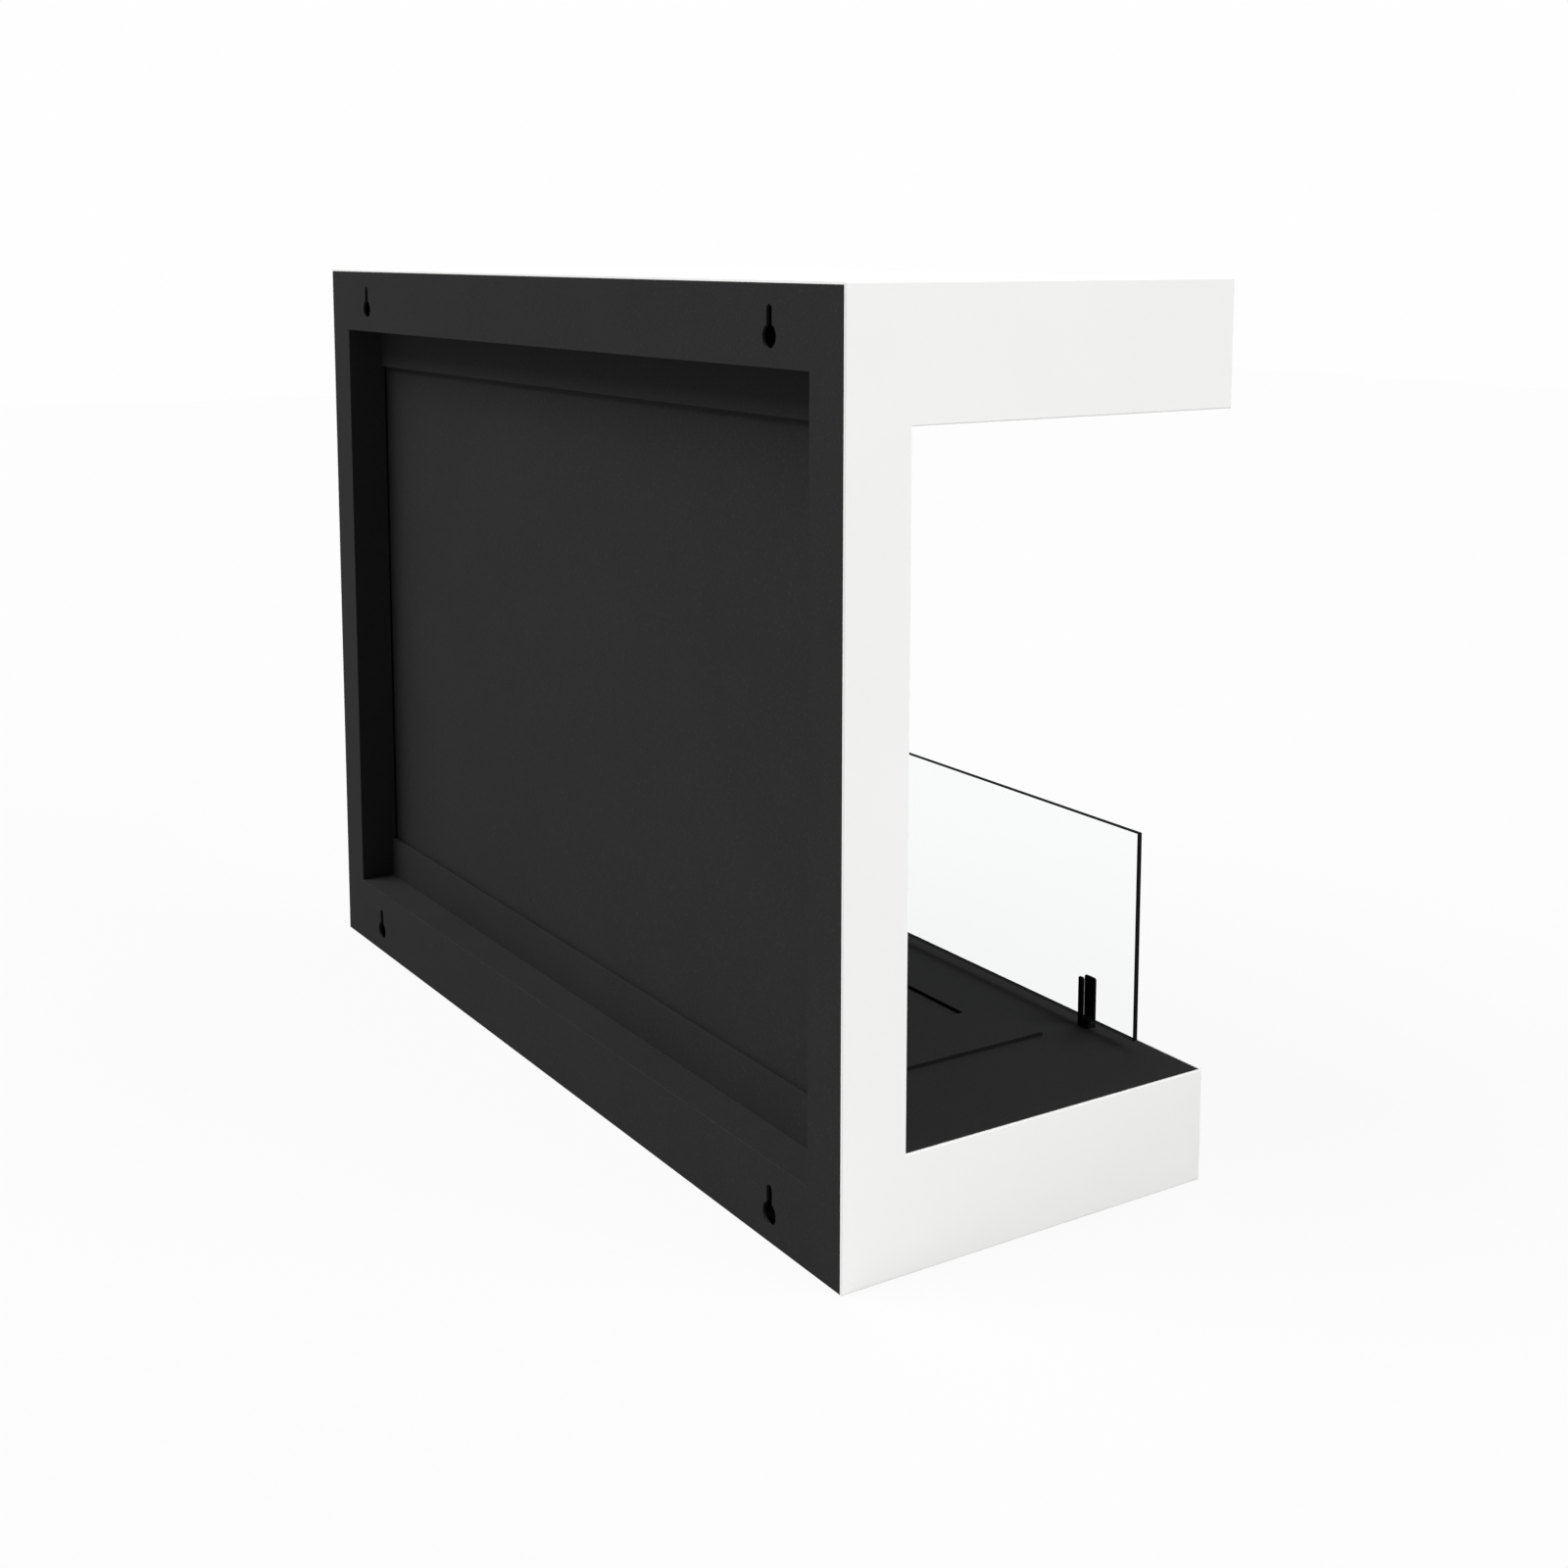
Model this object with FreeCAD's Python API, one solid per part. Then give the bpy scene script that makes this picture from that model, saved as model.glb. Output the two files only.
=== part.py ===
"""Wall-hung three-sided ethanol fireplace, as separate sheet-metal pieces.

Millimetres, +Z up. The origin is on the floor plane, in the middle of the width and
depth. The front is -Y, the wall is at +Y, and the two open ends are -X and +X.
A white C-shaped casing holds a hood and a base. A black frame with four keyholes
closes the back. The burner insert, its lid and the glass pane lift out.
"""
import FreeCAD, Part
import math
import os

from FreeCAD import Vector

# ---------------------------------------------------------------- overall sizes
overall_width = 800.0
overall_height = 600.0
hood_depth = 300.0
base_depth = 290.0
hood_height = 83.0
base_height = 77.0
leg_depth = 47.0

# ------------------------------------------------------------ sheet thicknesses
skin = 1.5                    # white casing and black linings
frame_sheet = 2.0             # wall frame
pan_sheet = 2.0               # bottom pan
thin_sheet = 1.0              # burner housing, heat shield, drip tray
tank_sheet = 1.5              # stainless fuel tank
plate_sheet = 2.0             # burner top plate
lid_sheet = 1.5               # burner lid

# -------------------------------------------------------------- named clearances
seam = 0.3                    # open joint between neighbouring sheets
insert_gap = 2.0              # burner housing to the deck cut-out, all round
lid_gap = 0.8                 # lid to the edge of the burner mouth
pane_gap = 0.25               # glass to each wall of its holder
tank_gap = 4.0                # fuel tank to the housing, front and rear
tray_gap = 5.0                # burner housing to the drip tray's rim
hole_gap = 0.3                # screw or stud to its hole, on the radius
thread_gap = 0.1              # nut to stud, on the radius
wool_gap = 1.0                # ceramic wool to the tank walls
sink_gap = 0.1                # countersunk screw to its hole, on the radius

# -------------------------------------------------------------------- edges
edge_round = 0.8              # ground corners of the casing
frame_round = 0.4             # folded corners of the wall frame
return_width = 15.0           # folded returns and welded ledges

# ---------------------------------------------------------------- wall frame
side_bar = 37.0
top_bar = 52.0
bottom_bar = 54.0
recess_depth = 29.0           # wall plane to the rear faces of hood and base
side_return_extra = 3.0       # side returns run deeper between hood and base
keyhole_inset = 80.0          # keyhole to the side of the casing
keyhole_top_inset = 33.0      # upper keyhole's round hole below the top
keyhole_low_z = 19.0          # lower keyhole's round hole above the floor
keyhole_head_radius = 7.5
keyhole_slot_width = 6.0
keyhole_rise = 16.0           # round hole's centre to the slot's upper centre

# ------------------------------------------------------------- hood and base
hood_panel_drop = 1.5         # hood rear panel below the ceiling's level
ceiling_lip = 10.0            # raised edges of the firebox ceiling
base_panel_rise = 11.0        # base rear panel above the deck
member_width = 20.0           # hood crossmembers
member_height = 25.0
member_x = 190.0
shield_inset = 25.0           # heat shield to the casing
shield_lip = 8.0
beam_width = 18.0             # beams under the deck
beam_height = 20.0
beam_offset = 8.0             # beam to the deck cut-out
tray_height = 12.0
tray_overlap = 12.0           # drip tray beyond the housing
tray_stand_height = 8.0
tray_stand_x = 210.0

# ------------------------------------------------------------- firebox rear
insulation_thickness = 10.0
seal_height = 9.0
stud_edge = 60.0              # lining studs from the lining's edges
stud_end = 1.0                # thread beyond a lining nut

# ------------------------------------------------------------------ burner
burner_end_margin = 103.0     # burner plate to the casing's sides
burner_front_margin = 51.0    # burner plate to the base's front
burner_rear_margin = 50.0     # burner plate to the firebox lining
housing_inset = 14.0          # housing walls inside the plate's edge
mouth_end_margin = 58.0
mouth_front_margin = 25.0
mouth_rear_margin = 26.0
ledge_lip = 7.0               # ledge that carries the lid
ledge_rim = 9.0
ledge_sheet = 1.2
tank_inset = 2.0              # fuel tank's ends inside the ledge's ends
tank_foot_height = 2.0
tank_foot_x = 180.0
tank_foot_width = 24.0
wool_headroom = 13.0          # ceramic wool below the ledge
wool_round = 3.0
plate_round = 0.5
handle_length = 44.0
handle_width = 10.0
handle_height = 12.0
handle_sheet = 1.5
handle_foot = 10.0            # folded foot at each end of the handle

# ------------------------------------------------------------------- glass
glass_thickness = 4.0
pane_height = 146.0
pane_end_inset = 50.0         # pane to the casing's sides
pane_setback = 11.5           # pane to the base's front
pane_arris = 0.5
holder_inset = 50.0           # holder's centre to the pane's end
holder_width = 11.0
holder_wall = 1.25
holder_height = 35.5
holder_tab_width = 5.0        # rear wall of the holder, at the end nearer the pane's middle
holder_floor = 3.5
holder_round = 1.5
pad_thickness = 2.0

# --------------------------------------------------------------- fasteners
stud_radius = 2.0             # M4
stud_length = 9.0
frame_studs = 3               # on each cheek, for the wall frame
frame_stud_edge = 40.0        # outer ones to the window's edges
deck_studs = 3                # over each cheek's ledge
deck_stud_front = 40.0        # first one to the middle of the front ledge
deck_stud_rear = 15.0         # last one to the firebox lining
front_stud_x = 160.0          # over the front ledge
nut_flats = 7.0
nut_height = 3.2
screw_radius = 2.0            # M4
button_radius = 3.8
button_height = 2.2
button_dome = 0.6             # rounded share of a button head's height
ceiling_screw_count = 4       # in each crossmember
ceiling_screw_edge = 20.0     # outer ones to the crossmember's ends
ceiling_screw_length = 8.0
shield_screw_edge = 50.0
shield_screw_length = 6.0
small_screw_radius = 1.5      # M3
small_head_radius = 3.0
small_head_height = 1.7
pan_screw_count = 3           # along each cheek's ledge
pan_screw_front = 30.0        # first one to the middle of the front ledge
pan_screw_rear = 25.0         # last one to the base's rear face
front_screw_count = 4         # along the front ledge
front_screw_x = 240.0         # outer ones to the middle
rivet_nut_radius = 2.5
rivet_nut_length = 8.0
rivet_radius = 1.6
rivet_head_radius = 2.8
rivet_head_height = 0.9

# ----------------------------------------------------------- derived planes
side_x = overall_width / 2
inner_x = side_x - skin - seam            # outermost x of pieces between the cheeks
wall_y = hood_depth / 2
hood_front_y = wall_y - hood_depth
base_front_y = wall_y - base_depth
lining_y = wall_y - leg_depth             # firebox lining, flush with the legs
top_z = overall_height
hood_z = overall_height - hood_height     # underside of the hood
deck_z = base_height                      # top of the deck

rear_y = wall_y - recess_depth            # rear faces of the hood and base boxes
frame_front_y = wall_y - return_width - frame_sheet   # front edges of the frame's rim
upstand_y = rear_y - 2 * skin             # front face of the deck's upstand
rear_panel_y = lining_y + 2 * skin + insulation_thickness
window_x = side_x - side_bar
window_low_z = bottom_bar
window_high_z = overall_height - top_bar
base_panel_z = deck_z + base_panel_rise
hood_panel_z = hood_z - hood_panel_drop
lining_x = side_x - return_width - seam
ledge_z = deck_z - skin                   # deck's underside, top of its ledges

plate_x = side_x - burner_end_margin
plate_front_y = base_front_y + burner_front_margin
plate_rear_y = lining_y - burner_rear_margin
flange_z = deck_z + thin_sheet
plate_z = flange_z + plate_sheet
housing_x = plate_x - housing_inset
housing_front_y = plate_front_y + housing_inset
housing_rear_y = plate_rear_y - housing_inset
mouth_x = plate_x - mouth_end_margin
mouth_front_y = plate_front_y + mouth_front_margin
mouth_rear_y = plate_rear_y - mouth_rear_margin
lip_z = flange_z - lid_sheet              # the lid rests here
ledge_low_z = lip_z - ledge_sheet
tray_z = pan_sheet + tray_stand_height
housing_z = tray_z + tray_height + tray_gap
tank_z = housing_z + thin_sheet + tank_foot_height
tank_x = mouth_x + ledge_rim - tank_inset
tank_front_y = housing_front_y + thin_sheet + tank_gap
tank_rear_y = housing_rear_y - thin_sheet - tank_gap

pane_x = side_x - pane_end_inset
pane_front_y = base_front_y + pane_setback
pane_rear_y = pane_front_y + glass_thickness
holder_x = pane_x - holder_inset
slot_z = deck_z + holder_floor
pane_z = slot_z + pad_thickness

member_z = hood_z + skin + member_height
tiny = 1e-4


# ------------------------------------------------------------------ helpers
def block(x, y, z):
    """Box between two x, two y and two z values."""
    size = [abs(ends[1] - ends[0]) for ends in (x, y, z)]
    return Part.makeBox(*size, Vector(min(x), min(y), min(z)))


def join(*shapes):
    """One clean solid from shapes that touch or overlap."""
    return shapes[0].multiFuse(list(shapes[1:])).removeSplitter()


def upright(x, y, low_z, high_z, radius):
    """Vertical cylinder."""
    return Part.makeCylinder(radius, high_z - low_z, Vector(x, y, low_z))


def along(start, direction, length, radius):
    """Cylinder from a point along a direction."""
    return Part.makeCylinder(radius, length, Vector(*start), Vector(*direction))


def mirrored(shape):
    """The same piece on the other side of the middle plane."""
    return shape.mirror(Vector(0, 0, 0), Vector(1, 0, 0))


def lies_on(edge, axis, value):
    """True if both ends of an edge have this x, y or z (axis 0, 1 or 2)."""
    return all(abs(vertex.Point[axis] - value) < tiny for vertex in edge.Vertexes)


def rounded(shape, radius, chosen):
    """Shape with the chosen edges rounded."""
    return shape.makeFillet(radius, [edge for edge in shape.Edges if chosen(edge)])


def nut(bolt_radius, start, direction):
    """Hexagon nut on an axis, from a point along a direction."""
    corner = nut_flats / math.sqrt(3)
    turns = [math.radians(60 * k) for k in range(7)]
    ring = [Vector(corner * math.cos(t), corner * math.sin(t), 0) for t in turns]
    body = Part.Face(Part.makePolygon(ring)).extrude(Vector(0, 0, nut_height))
    body = body.cut(Part.makeCylinder(bolt_radius, nut_height))
    body.Placement = FreeCAD.Placement(
        Vector(*start), FreeCAD.Rotation(Vector(0, 0, 1), Vector(*direction)))
    return body


def spread(low, high, count):
    """Evenly spaced values from low to high."""
    return [low + (high - low) * k / (count - 1) for k in range(count)]


# ------------------------------------------------------------------- casing
def frame_stud_spots():
    """(y, z) of the studs that hold the wall frame to a cheek."""
    y = wall_y - frame_sheet - return_width / 2
    low = window_low_z + frame_stud_edge
    high = window_high_z - frame_stud_edge
    return [(y, z) for z in spread(low, high, frame_studs)]


def deck_stud_spots():
    """(x, y) of the studs under the deck, over the ledges."""
    side = side_x - skin - return_width / 2
    front = base_front_y + skin + return_width / 2
    rows = spread(front + deck_stud_front, lining_y - deck_stud_rear, deck_studs)
    ends = [(s * side, y) for s in (-1, 1) for y in rows]
    return ends + [(s * front_stud_x, front) for s in (-1, 1)]


def pan_screw_spots():
    """(x, y) of the screws that hold the bottom pan."""
    side = side_x - skin - return_width / 2
    front = base_front_y + skin + return_width / 2
    rows = spread(front + pan_screw_front, rear_y - pan_screw_rear, pan_screw_count)
    ends = [(s * side, y) for s in (-1, 1) for y in rows]
    return ends + [(x, front) for x in spread(-front_screw_x, front_screw_x, front_screw_count)]


def stud_holes(spots, low_z, high_z, radius):
    """Upright cylinders at a list of (x, y) spots, to cut or to join."""
    return [upright(x, y, low_z, high_z, radius) for x, y in spots]


def cheek():
    """Right cheek: C-shaped side sheet with its returns, ledges and weld studs."""
    outline = [(wall_y, 0), (wall_y, top_z), (hood_front_y, top_z), (hood_front_y, hood_z),
               (lining_y, hood_z), (lining_y, deck_z), (base_front_y, deck_z),
               (base_front_y, 0), (wall_y, 0)]
    ring = Part.makePolygon([Vector(side_x, y, z) for y, z in outline])
    plate = Part.Face(ring).extrude(Vector(-skin, 0, 0))
    across = (side_x - return_width, side_x)
    inside = (side_x - skin - return_width, side_x - skin)
    leg = block(across, (lining_y, lining_y + skin), (deck_z, hood_z + skin))
    hood = block(across, (hood_front_y, lining_y + skin), (hood_z, hood_z + skin))
    body = join(plate, leg, hood)
    body = rounded(body, edge_round, lambda edge: lies_on(edge, 0, side_x))
    ledge_y = (base_front_y + skin, upstand_y)
    deck_ledge = block(inside, ledge_y, (ledge_z - skin, ledge_z))
    pan_ledge = block(inside, ledge_y, (pan_sheet, pan_sheet + skin))
    studs = [along((side_x - skin, y, z), (-1, 0, 0), stud_length, stud_radius)
             for y, z in frame_stud_spots()]
    body = join(body, deck_ledge, pan_ledge, *studs)
    deck_spots = [spot for spot in deck_stud_spots() if spot[0] > 0]
    pan_spots = [spot for spot in pan_screw_spots() if spot[0] > 0]
    holes = stud_holes(deck_spots, ledge_z - skin, ledge_z, stud_radius + hole_gap)
    holes += stud_holes(pan_spots, pan_sheet, pan_sheet + skin, rivet_nut_radius + thread_gap)
    return body.cut(holes)


def hood_top():
    """White top sheet, welded between the cheeks and the fascia."""
    across = (skin - side_x, side_x - skin)
    return block(across, (hood_front_y + skin, wall_y), (top_z - skin, top_z))


def hood_fascia():
    """White front of the hood, folded back under the hood."""
    across = (skin - side_x, side_x - skin)
    front = block(across, (hood_front_y, hood_front_y + skin), (hood_z, top_z))
    inner = (return_width - side_x, side_x - return_width)
    under = block(inner, (hood_front_y, hood_front_y + return_width), (hood_z, hood_z + skin))
    # The cheeks' returns run to the front corner, so the sheet is notched there.
    notches = [block((s * inner[1], s * across[1]), (hood_front_y, hood_front_y + skin),
                     (hood_z, hood_z + skin)) for s in (-1, 1)]
    body = join(front, under).cut(notches)
    return rounded(body, edge_round, lambda edge: lies_on(edge, 1, hood_front_y)
                   and (lies_on(edge, 2, top_z) or lies_on(edge, 2, hood_z)))


def base_fascia():
    """White front of the base, with ledges for the deck and the bottom pan."""
    across = (skin - side_x, side_x - skin)
    front = block(across, (base_front_y, base_front_y + skin), (0, deck_z))
    front = rounded(front, edge_round, lambda edge: lies_on(edge, 1, base_front_y)
                    and (lies_on(edge, 2, 0) or lies_on(edge, 2, deck_z)))
    reach = side_x - skin - return_width - seam
    back = (base_front_y + skin, base_front_y + skin + return_width)
    deck_ledge = block((-reach, reach), back, (ledge_z - skin, ledge_z))
    pan_ledge = block((-reach, reach), back, (pan_sheet, pan_sheet + skin))
    body = join(front, deck_ledge, pan_ledge)
    deck_spots = [spot for spot in deck_stud_spots() if abs(spot[0]) < reach]
    pan_spots = [spot for spot in pan_screw_spots() if abs(spot[0]) < reach]
    holes = stud_holes(deck_spots, ledge_z - skin, ledge_z, stud_radius + hole_gap)
    holes += stud_holes(holder_spots(), ledge_z - skin, ledge_z, small_screw_radius + hole_gap)
    holes += stud_holes(pan_spots, pan_sheet, pan_sheet + skin, rivet_nut_radius + thread_gap)
    return body.cut(holes)


# --------------------------------------------------------------- wall frame
def keyhole(x, z):
    """Round hole with a slot above it, through the frame's face."""
    back = (wall_y - frame_sheet, wall_y)
    start_y = back[0]
    head = along((x, start_y, z), (0, 1, 0), frame_sheet, keyhole_head_radius)
    half = keyhole_slot_width / 2
    slot = block((x - half, x + half), back, (z, z + keyhole_rise))
    end = along((x, start_y, z + keyhole_rise), (0, 1, 0), frame_sheet, half)
    return join(head, slot, end)


def wall_frame():
    """Black rear frame: a flanged face with a window, returns and four keyholes.

    Its lower edge is flush with the cheeks' lower edges, behind the bottom pan.
    """
    low = 0
    high = top_z - skin - seam
    face = block((-inner_x, inner_x), (wall_y - frame_sheet, wall_y), (low, high))
    rim_y = (frame_front_y, wall_y)
    rim = block((-inner_x, inner_x), rim_y, (low, high)).cut(
        block((frame_sheet - inner_x, inner_x - frame_sheet), rim_y,
              (low + frame_sheet, high - frame_sheet)))
    well = block((-window_x - frame_sheet, window_x + frame_sheet), (rear_y, wall_y),
                 (window_low_z - frame_sheet, window_high_z + frame_sheet))
    tongue_z = (base_panel_z + seam, hood_panel_z - seam)
    tongues = [block((s * window_x, s * (window_x + frame_sheet)),
                     (rear_y - side_return_extra, rear_y), tongue_z) for s in (-1, 1)]
    window = block((-window_x, window_x), (rear_y - side_return_extra, wall_y),
                   (window_low_z, window_high_z))
    body = join(face, rim, well, *tongues).cut(window)
    body = rounded(body.removeSplitter(), frame_round, lambda edge: lies_on(edge, 1, wall_y))
    holes = [keyhole(s * (side_x - keyhole_inset), z) for s in (-1, 1)
             for z in (keyhole_low_z, top_z - keyhole_top_inset)]
    for y, z in frame_stud_spots():
        holes += [along((s * inner_x, y, z), (-s, 0, 0), frame_sheet, stud_radius + hole_gap)
                  for s in (-1, 1)]
    return body.cut(holes)


def frame_nuts():
    """Nuts on the cheeks' studs, inside the wall frame's side returns."""
    start = inner_x - frame_sheet
    nuts = [nut(stud_radius + thread_gap, (s * start, y, z), (-s, 0, 0))
            for s in (-1, 1) for y, z in frame_stud_spots()]
    return Part.makeCompound(nuts)


# --------------------------------------------------------------------- hood
def hood_rear_panel():
    """Black rear wall of the hood, seen as the upper strip in the recess."""
    return block((-inner_x, inner_x), (rear_y - skin, rear_y), (hood_panel_z, top_z - skin - seam))


def hood_ceiling():
    """Black ceiling of the firebox, flush with the white returns, with raised edges."""
    x = side_x - return_width - seam
    front = hood_front_y + return_width + seam
    rear = rear_y - skin - seam
    lip = (hood_z, hood_z + ceiling_lip)
    sheet = block((-x, x), (front, rear), (hood_z, hood_z + skin))
    rim = block((-x, x), (front, rear), lip).cut(
        block((skin - x, x - skin), (front + skin, rear - skin), lip))
    holes = stud_holes(ceiling_screw_spots(), hood_z, hood_z + skin, screw_radius + hole_gap)
    return join(sheet, rim).cut(holes)


def member_ends():
    """Front and rear ends of the hood's crossmembers, inside the ceiling's raised edges."""
    return hood_front_y + return_width + 2 * seam + skin, rear_y - 2 * skin - 2 * seam


def ceiling_screw_spots():
    """(x, y) of the screws that hold the ceiling to the crossmembers."""
    front, rear = member_ends()
    rows = spread(front + ceiling_screw_edge, rear - ceiling_screw_edge, ceiling_screw_count)
    return [(s * member_x, y) for s in (-1, 1) for y in rows]


def hood_crossmember():
    """Channel from front to rear, standing on the ceiling."""
    front, rear = member_ends()
    half = member_width / 2
    low = hood_z + skin
    outer = block((member_x - half, member_x + half), (front, rear), (low, member_z))
    hollow = block((member_x - half + skin, member_x + half), (front, rear),
                   (low + skin, member_z - skin))
    body = outer.cut(hollow)
    spots = [spot for spot in ceiling_screw_spots() if spot[0] > 0]
    holes = stud_holes(spots, low, low + skin, screw_radius + thread_gap)
    shield_spots = [spot for spot in shield_screw_spots() if spot[0] > 0]
    holes += stud_holes(shield_spots, member_z - skin, member_z, screw_radius + thread_gap)
    return body.cut(holes)


def button_screw(x, y, face_z, turn, length):
    """Button-head screw on a face. turn is 1 if its head is above the face, else -1."""
    head_z = face_z + turn * button_height
    shank_z = face_z - turn * length
    head = upright(x, y, min(face_z, head_z), max(face_z, head_z), button_radius)
    head = rounded(head, button_height * button_dome, lambda edge: lies_on(edge, 2, head_z)
                   and len(edge.Vertexes) == 1)
    shank = upright(x, y, min(face_z, shank_z), max(face_z, shank_z), screw_radius)
    return join(head, shank)


def ceiling_screws():
    """Button-head screws from below, through the ceiling into the crossmembers."""
    return Part.makeCompound([button_screw(x, y, hood_z, -1, ceiling_screw_length)
                              for x, y in ceiling_screw_spots()])


def shield_screw_spots():
    """(x, y) of the screws that hold the heat shield."""
    front, rear = member_ends()
    rows = (front + shield_screw_edge, rear - shield_screw_edge)
    return [(s * member_x, y) for s in (-1, 1) for y in rows]


def hood_heat_shield():
    """Bright sheet on the crossmembers, above the ceiling, with its edges folded down."""
    x = side_x - shield_inset
    front = hood_front_y + shield_inset
    rear = rear_y - shield_inset
    sheet = block((-x, x), (front, rear), (member_z, member_z + thin_sheet))
    lips = [block((s * x, s * (x - thin_sheet)), (front, rear),
                  (member_z - shield_lip, member_z + thin_sheet)) for s in (-1, 1)]
    holes = stud_holes(shield_screw_spots(), member_z, member_z + thin_sheet,
                       screw_radius + hole_gap)
    return join(sheet, *lips).cut(holes)


def shield_screws():
    """Button-head screws through the heat shield into the crossmembers."""
    top = member_z + thin_sheet
    return Part.makeCompound([button_screw(x, y, top, 1, shield_screw_length)
                              for x, y in shield_screw_spots()])


# --------------------------------------------------------------------- base
def base_rear_panel():
    """Black rear wall of the base, seen as the lower strip in the recess."""
    low = pan_sheet + seam
    return block((-inner_x, inner_x), (rear_y - skin, rear_y), (low, base_panel_z))


def base_deck():
    """Black deck with the burner's cut-out, a rear upstand and weld studs below."""
    front = base_front_y + skin + seam
    top = block((-inner_x, inner_x), (front, rear_y - skin), (ledge_z, deck_z))
    upstand = block((-inner_x, inner_x), (upstand_y, rear_y - skin), (ledge_z, base_panel_z))
    studs = stud_holes(deck_stud_spots(), ledge_z - stud_length, ledge_z, stud_radius)
    cut_out = block((-housing_x - insert_gap, housing_x + insert_gap),
                    (housing_front_y - insert_gap, housing_rear_y + insert_gap), (ledge_z, deck_z))
    holes = stud_holes(holder_spots(), ledge_z, deck_z, small_screw_radius + hole_gap)
    return join(top, upstand, *studs).cut([cut_out] + holes)


def deck_nuts():
    """Nuts under the deck's ledges."""
    start = ledge_z - skin
    return Part.makeCompound([nut(stud_radius + thread_gap, (x, y, start), (0, 0, -1))
                              for x, y in deck_stud_spots()])


def deck_beam():
    """Channel under the deck, beside the burner's cut-out and behind the holder screws."""
    x = housing_x + insert_gap + beam_offset
    screw_rear = holder_spots()[0][1] + small_head_radius
    front = max(base_front_y + skin + return_width, screw_rear) + seam
    outer = block((x, x + beam_width), (front, upstand_y), (ledge_z - beam_height, ledge_z))
    hollow = block((x + skin, x + beam_width), (front, upstand_y),
                   (ledge_z - beam_height + skin, ledge_z - skin))
    return outer.cut(hollow)


def pan_screw(x, y):
    """Countersunk screw from below, flush with the pan."""
    cone = Part.makeCone(small_head_radius, small_screw_radius, small_head_height, Vector(x, y, 0))
    shank = upright(x, y, 0, rivet_nut_length, small_screw_radius)
    return join(cone, shank)


def base_bottom_pan():
    """White removable bottom of the base, with countersunk holes."""
    front = base_front_y + skin + seam
    rear = frame_front_y - seam
    sheet = block((-inner_x, inner_x), (front, rear), (0, pan_sheet))
    head = small_head_radius + sink_gap
    shank = small_screw_radius + sink_gap
    holes = stud_holes(pan_screw_spots(), 0, pan_sheet, shank)
    holes += [Part.makeCone(head, shank, small_head_height + sink_gap, Vector(x, y, 0))
              for x, y in pan_screw_spots()]
    return sheet.cut(holes)


def pan_screws():
    """Countersunk screws of the bottom pan."""
    return Part.makeCompound([pan_screw(x, y) for x, y in pan_screw_spots()])


def pan_rivet_nuts():
    """Rivet nuts in the pan's ledges."""
    low = pan_sheet
    nuts = []
    for x, y in pan_screw_spots():
        body = upright(x, y, low, low + rivet_nut_length, rivet_nut_radius)
        bore = upright(x, y, low, low + rivet_nut_length, small_screw_radius + thread_gap)
        nuts.append(body.cut(bore))
    return Part.makeCompound(nuts)


def safety_tray():
    """Drip tray under the burner."""
    x = (-housing_x - tray_overlap, housing_x + tray_overlap)
    y = (housing_front_y - tray_overlap, housing_rear_y + tray_overlap)
    outer = block(x, y, (tray_z, tray_z + tray_height))
    hollow = block((x[0] + thin_sheet, x[1] - thin_sheet), (y[0] + thin_sheet, y[1] - thin_sheet),
                   (tray_z + thin_sheet, tray_z + tray_height))
    return outer.cut(hollow)


def tray_stands():
    """Two folded stands that carry the drip tray on the bottom pan."""
    half = beam_width / 2
    y = (housing_front_y, housing_rear_y)
    stands = []
    for s in (-1, 1):
        middle = s * tray_stand_x
        outer = block((middle - half, middle + half), y, (pan_sheet, tray_z))
        hollow = block((middle - half + skin, middle + half - skin), y, (pan_sheet, tray_z - skin))
        stands.append(outer.cut(hollow))
    return Part.makeCompound(stands)


# ------------------------------------------------------------- firebox rear
def lining_stud_spots():
    """(x, z) of the studs that hold the lining and the insulation."""
    columns = spread(stud_edge - lining_x, lining_x - stud_edge, 3)
    rows = (deck_z + stud_edge, hood_z - stud_edge)
    return [(x, z) for x in columns for z in rows]


def firebox_rear_panel():
    """Black panel seen from behind, with weld studs on its front."""
    front = rear_panel_y - skin
    sheet = block((-inner_x, inner_x), (front, rear_panel_y), (deck_z, hood_z - seam))
    reach = front - lining_y + nut_height + stud_end
    studs = [along((x, front, z), (0, -1, 0), reach, stud_radius) for x, z in lining_stud_spots()]
    return join(sheet, *studs)


def through_holes(y):
    """Stud holes through a sheet between two y values."""
    return [along((x, y[0], z), (0, 1, 0), y[1] - y[0], stud_radius + hole_gap)
            for x, z in lining_stud_spots()]


def firebox_back_lining():
    """Black back wall of the firebox, flush with the legs."""
    y = (lining_y, lining_y + skin)
    sheet = block((-lining_x, lining_x), y, (deck_z, hood_z - seam))
    sides = [block((s * lining_x, s * (lining_x - skin)),
                   (lining_y, lining_y + insulation_thickness), (deck_z, hood_z - seam))
             for s in (-1, 1)]
    return join(sheet, *sides).cut(through_holes(y))


def insulation_board():
    """Pale fibre board between the lining and the rear panel."""
    x = lining_x - skin - seam
    y = (lining_y + skin, rear_panel_y - skin)
    board = block((-x, x), y, (deck_z + seam, hood_z - 2 * seam))
    return board.cut(through_holes(y))


def lining_nuts():
    """Black nuts on the lining, inside the firebox."""
    return Part.makeCompound([nut(stud_radius + thread_gap, (x, lining_y, z), (0, -1, 0))
                              for x, z in lining_stud_spots()])


def panel_seal():
    """Glass-fibre tape between the rear panel and the deck's upstand."""
    low = deck_z + seam
    return block((-window_x, window_x), (rear_panel_y, upstand_y), (low, low + seal_height))


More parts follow.
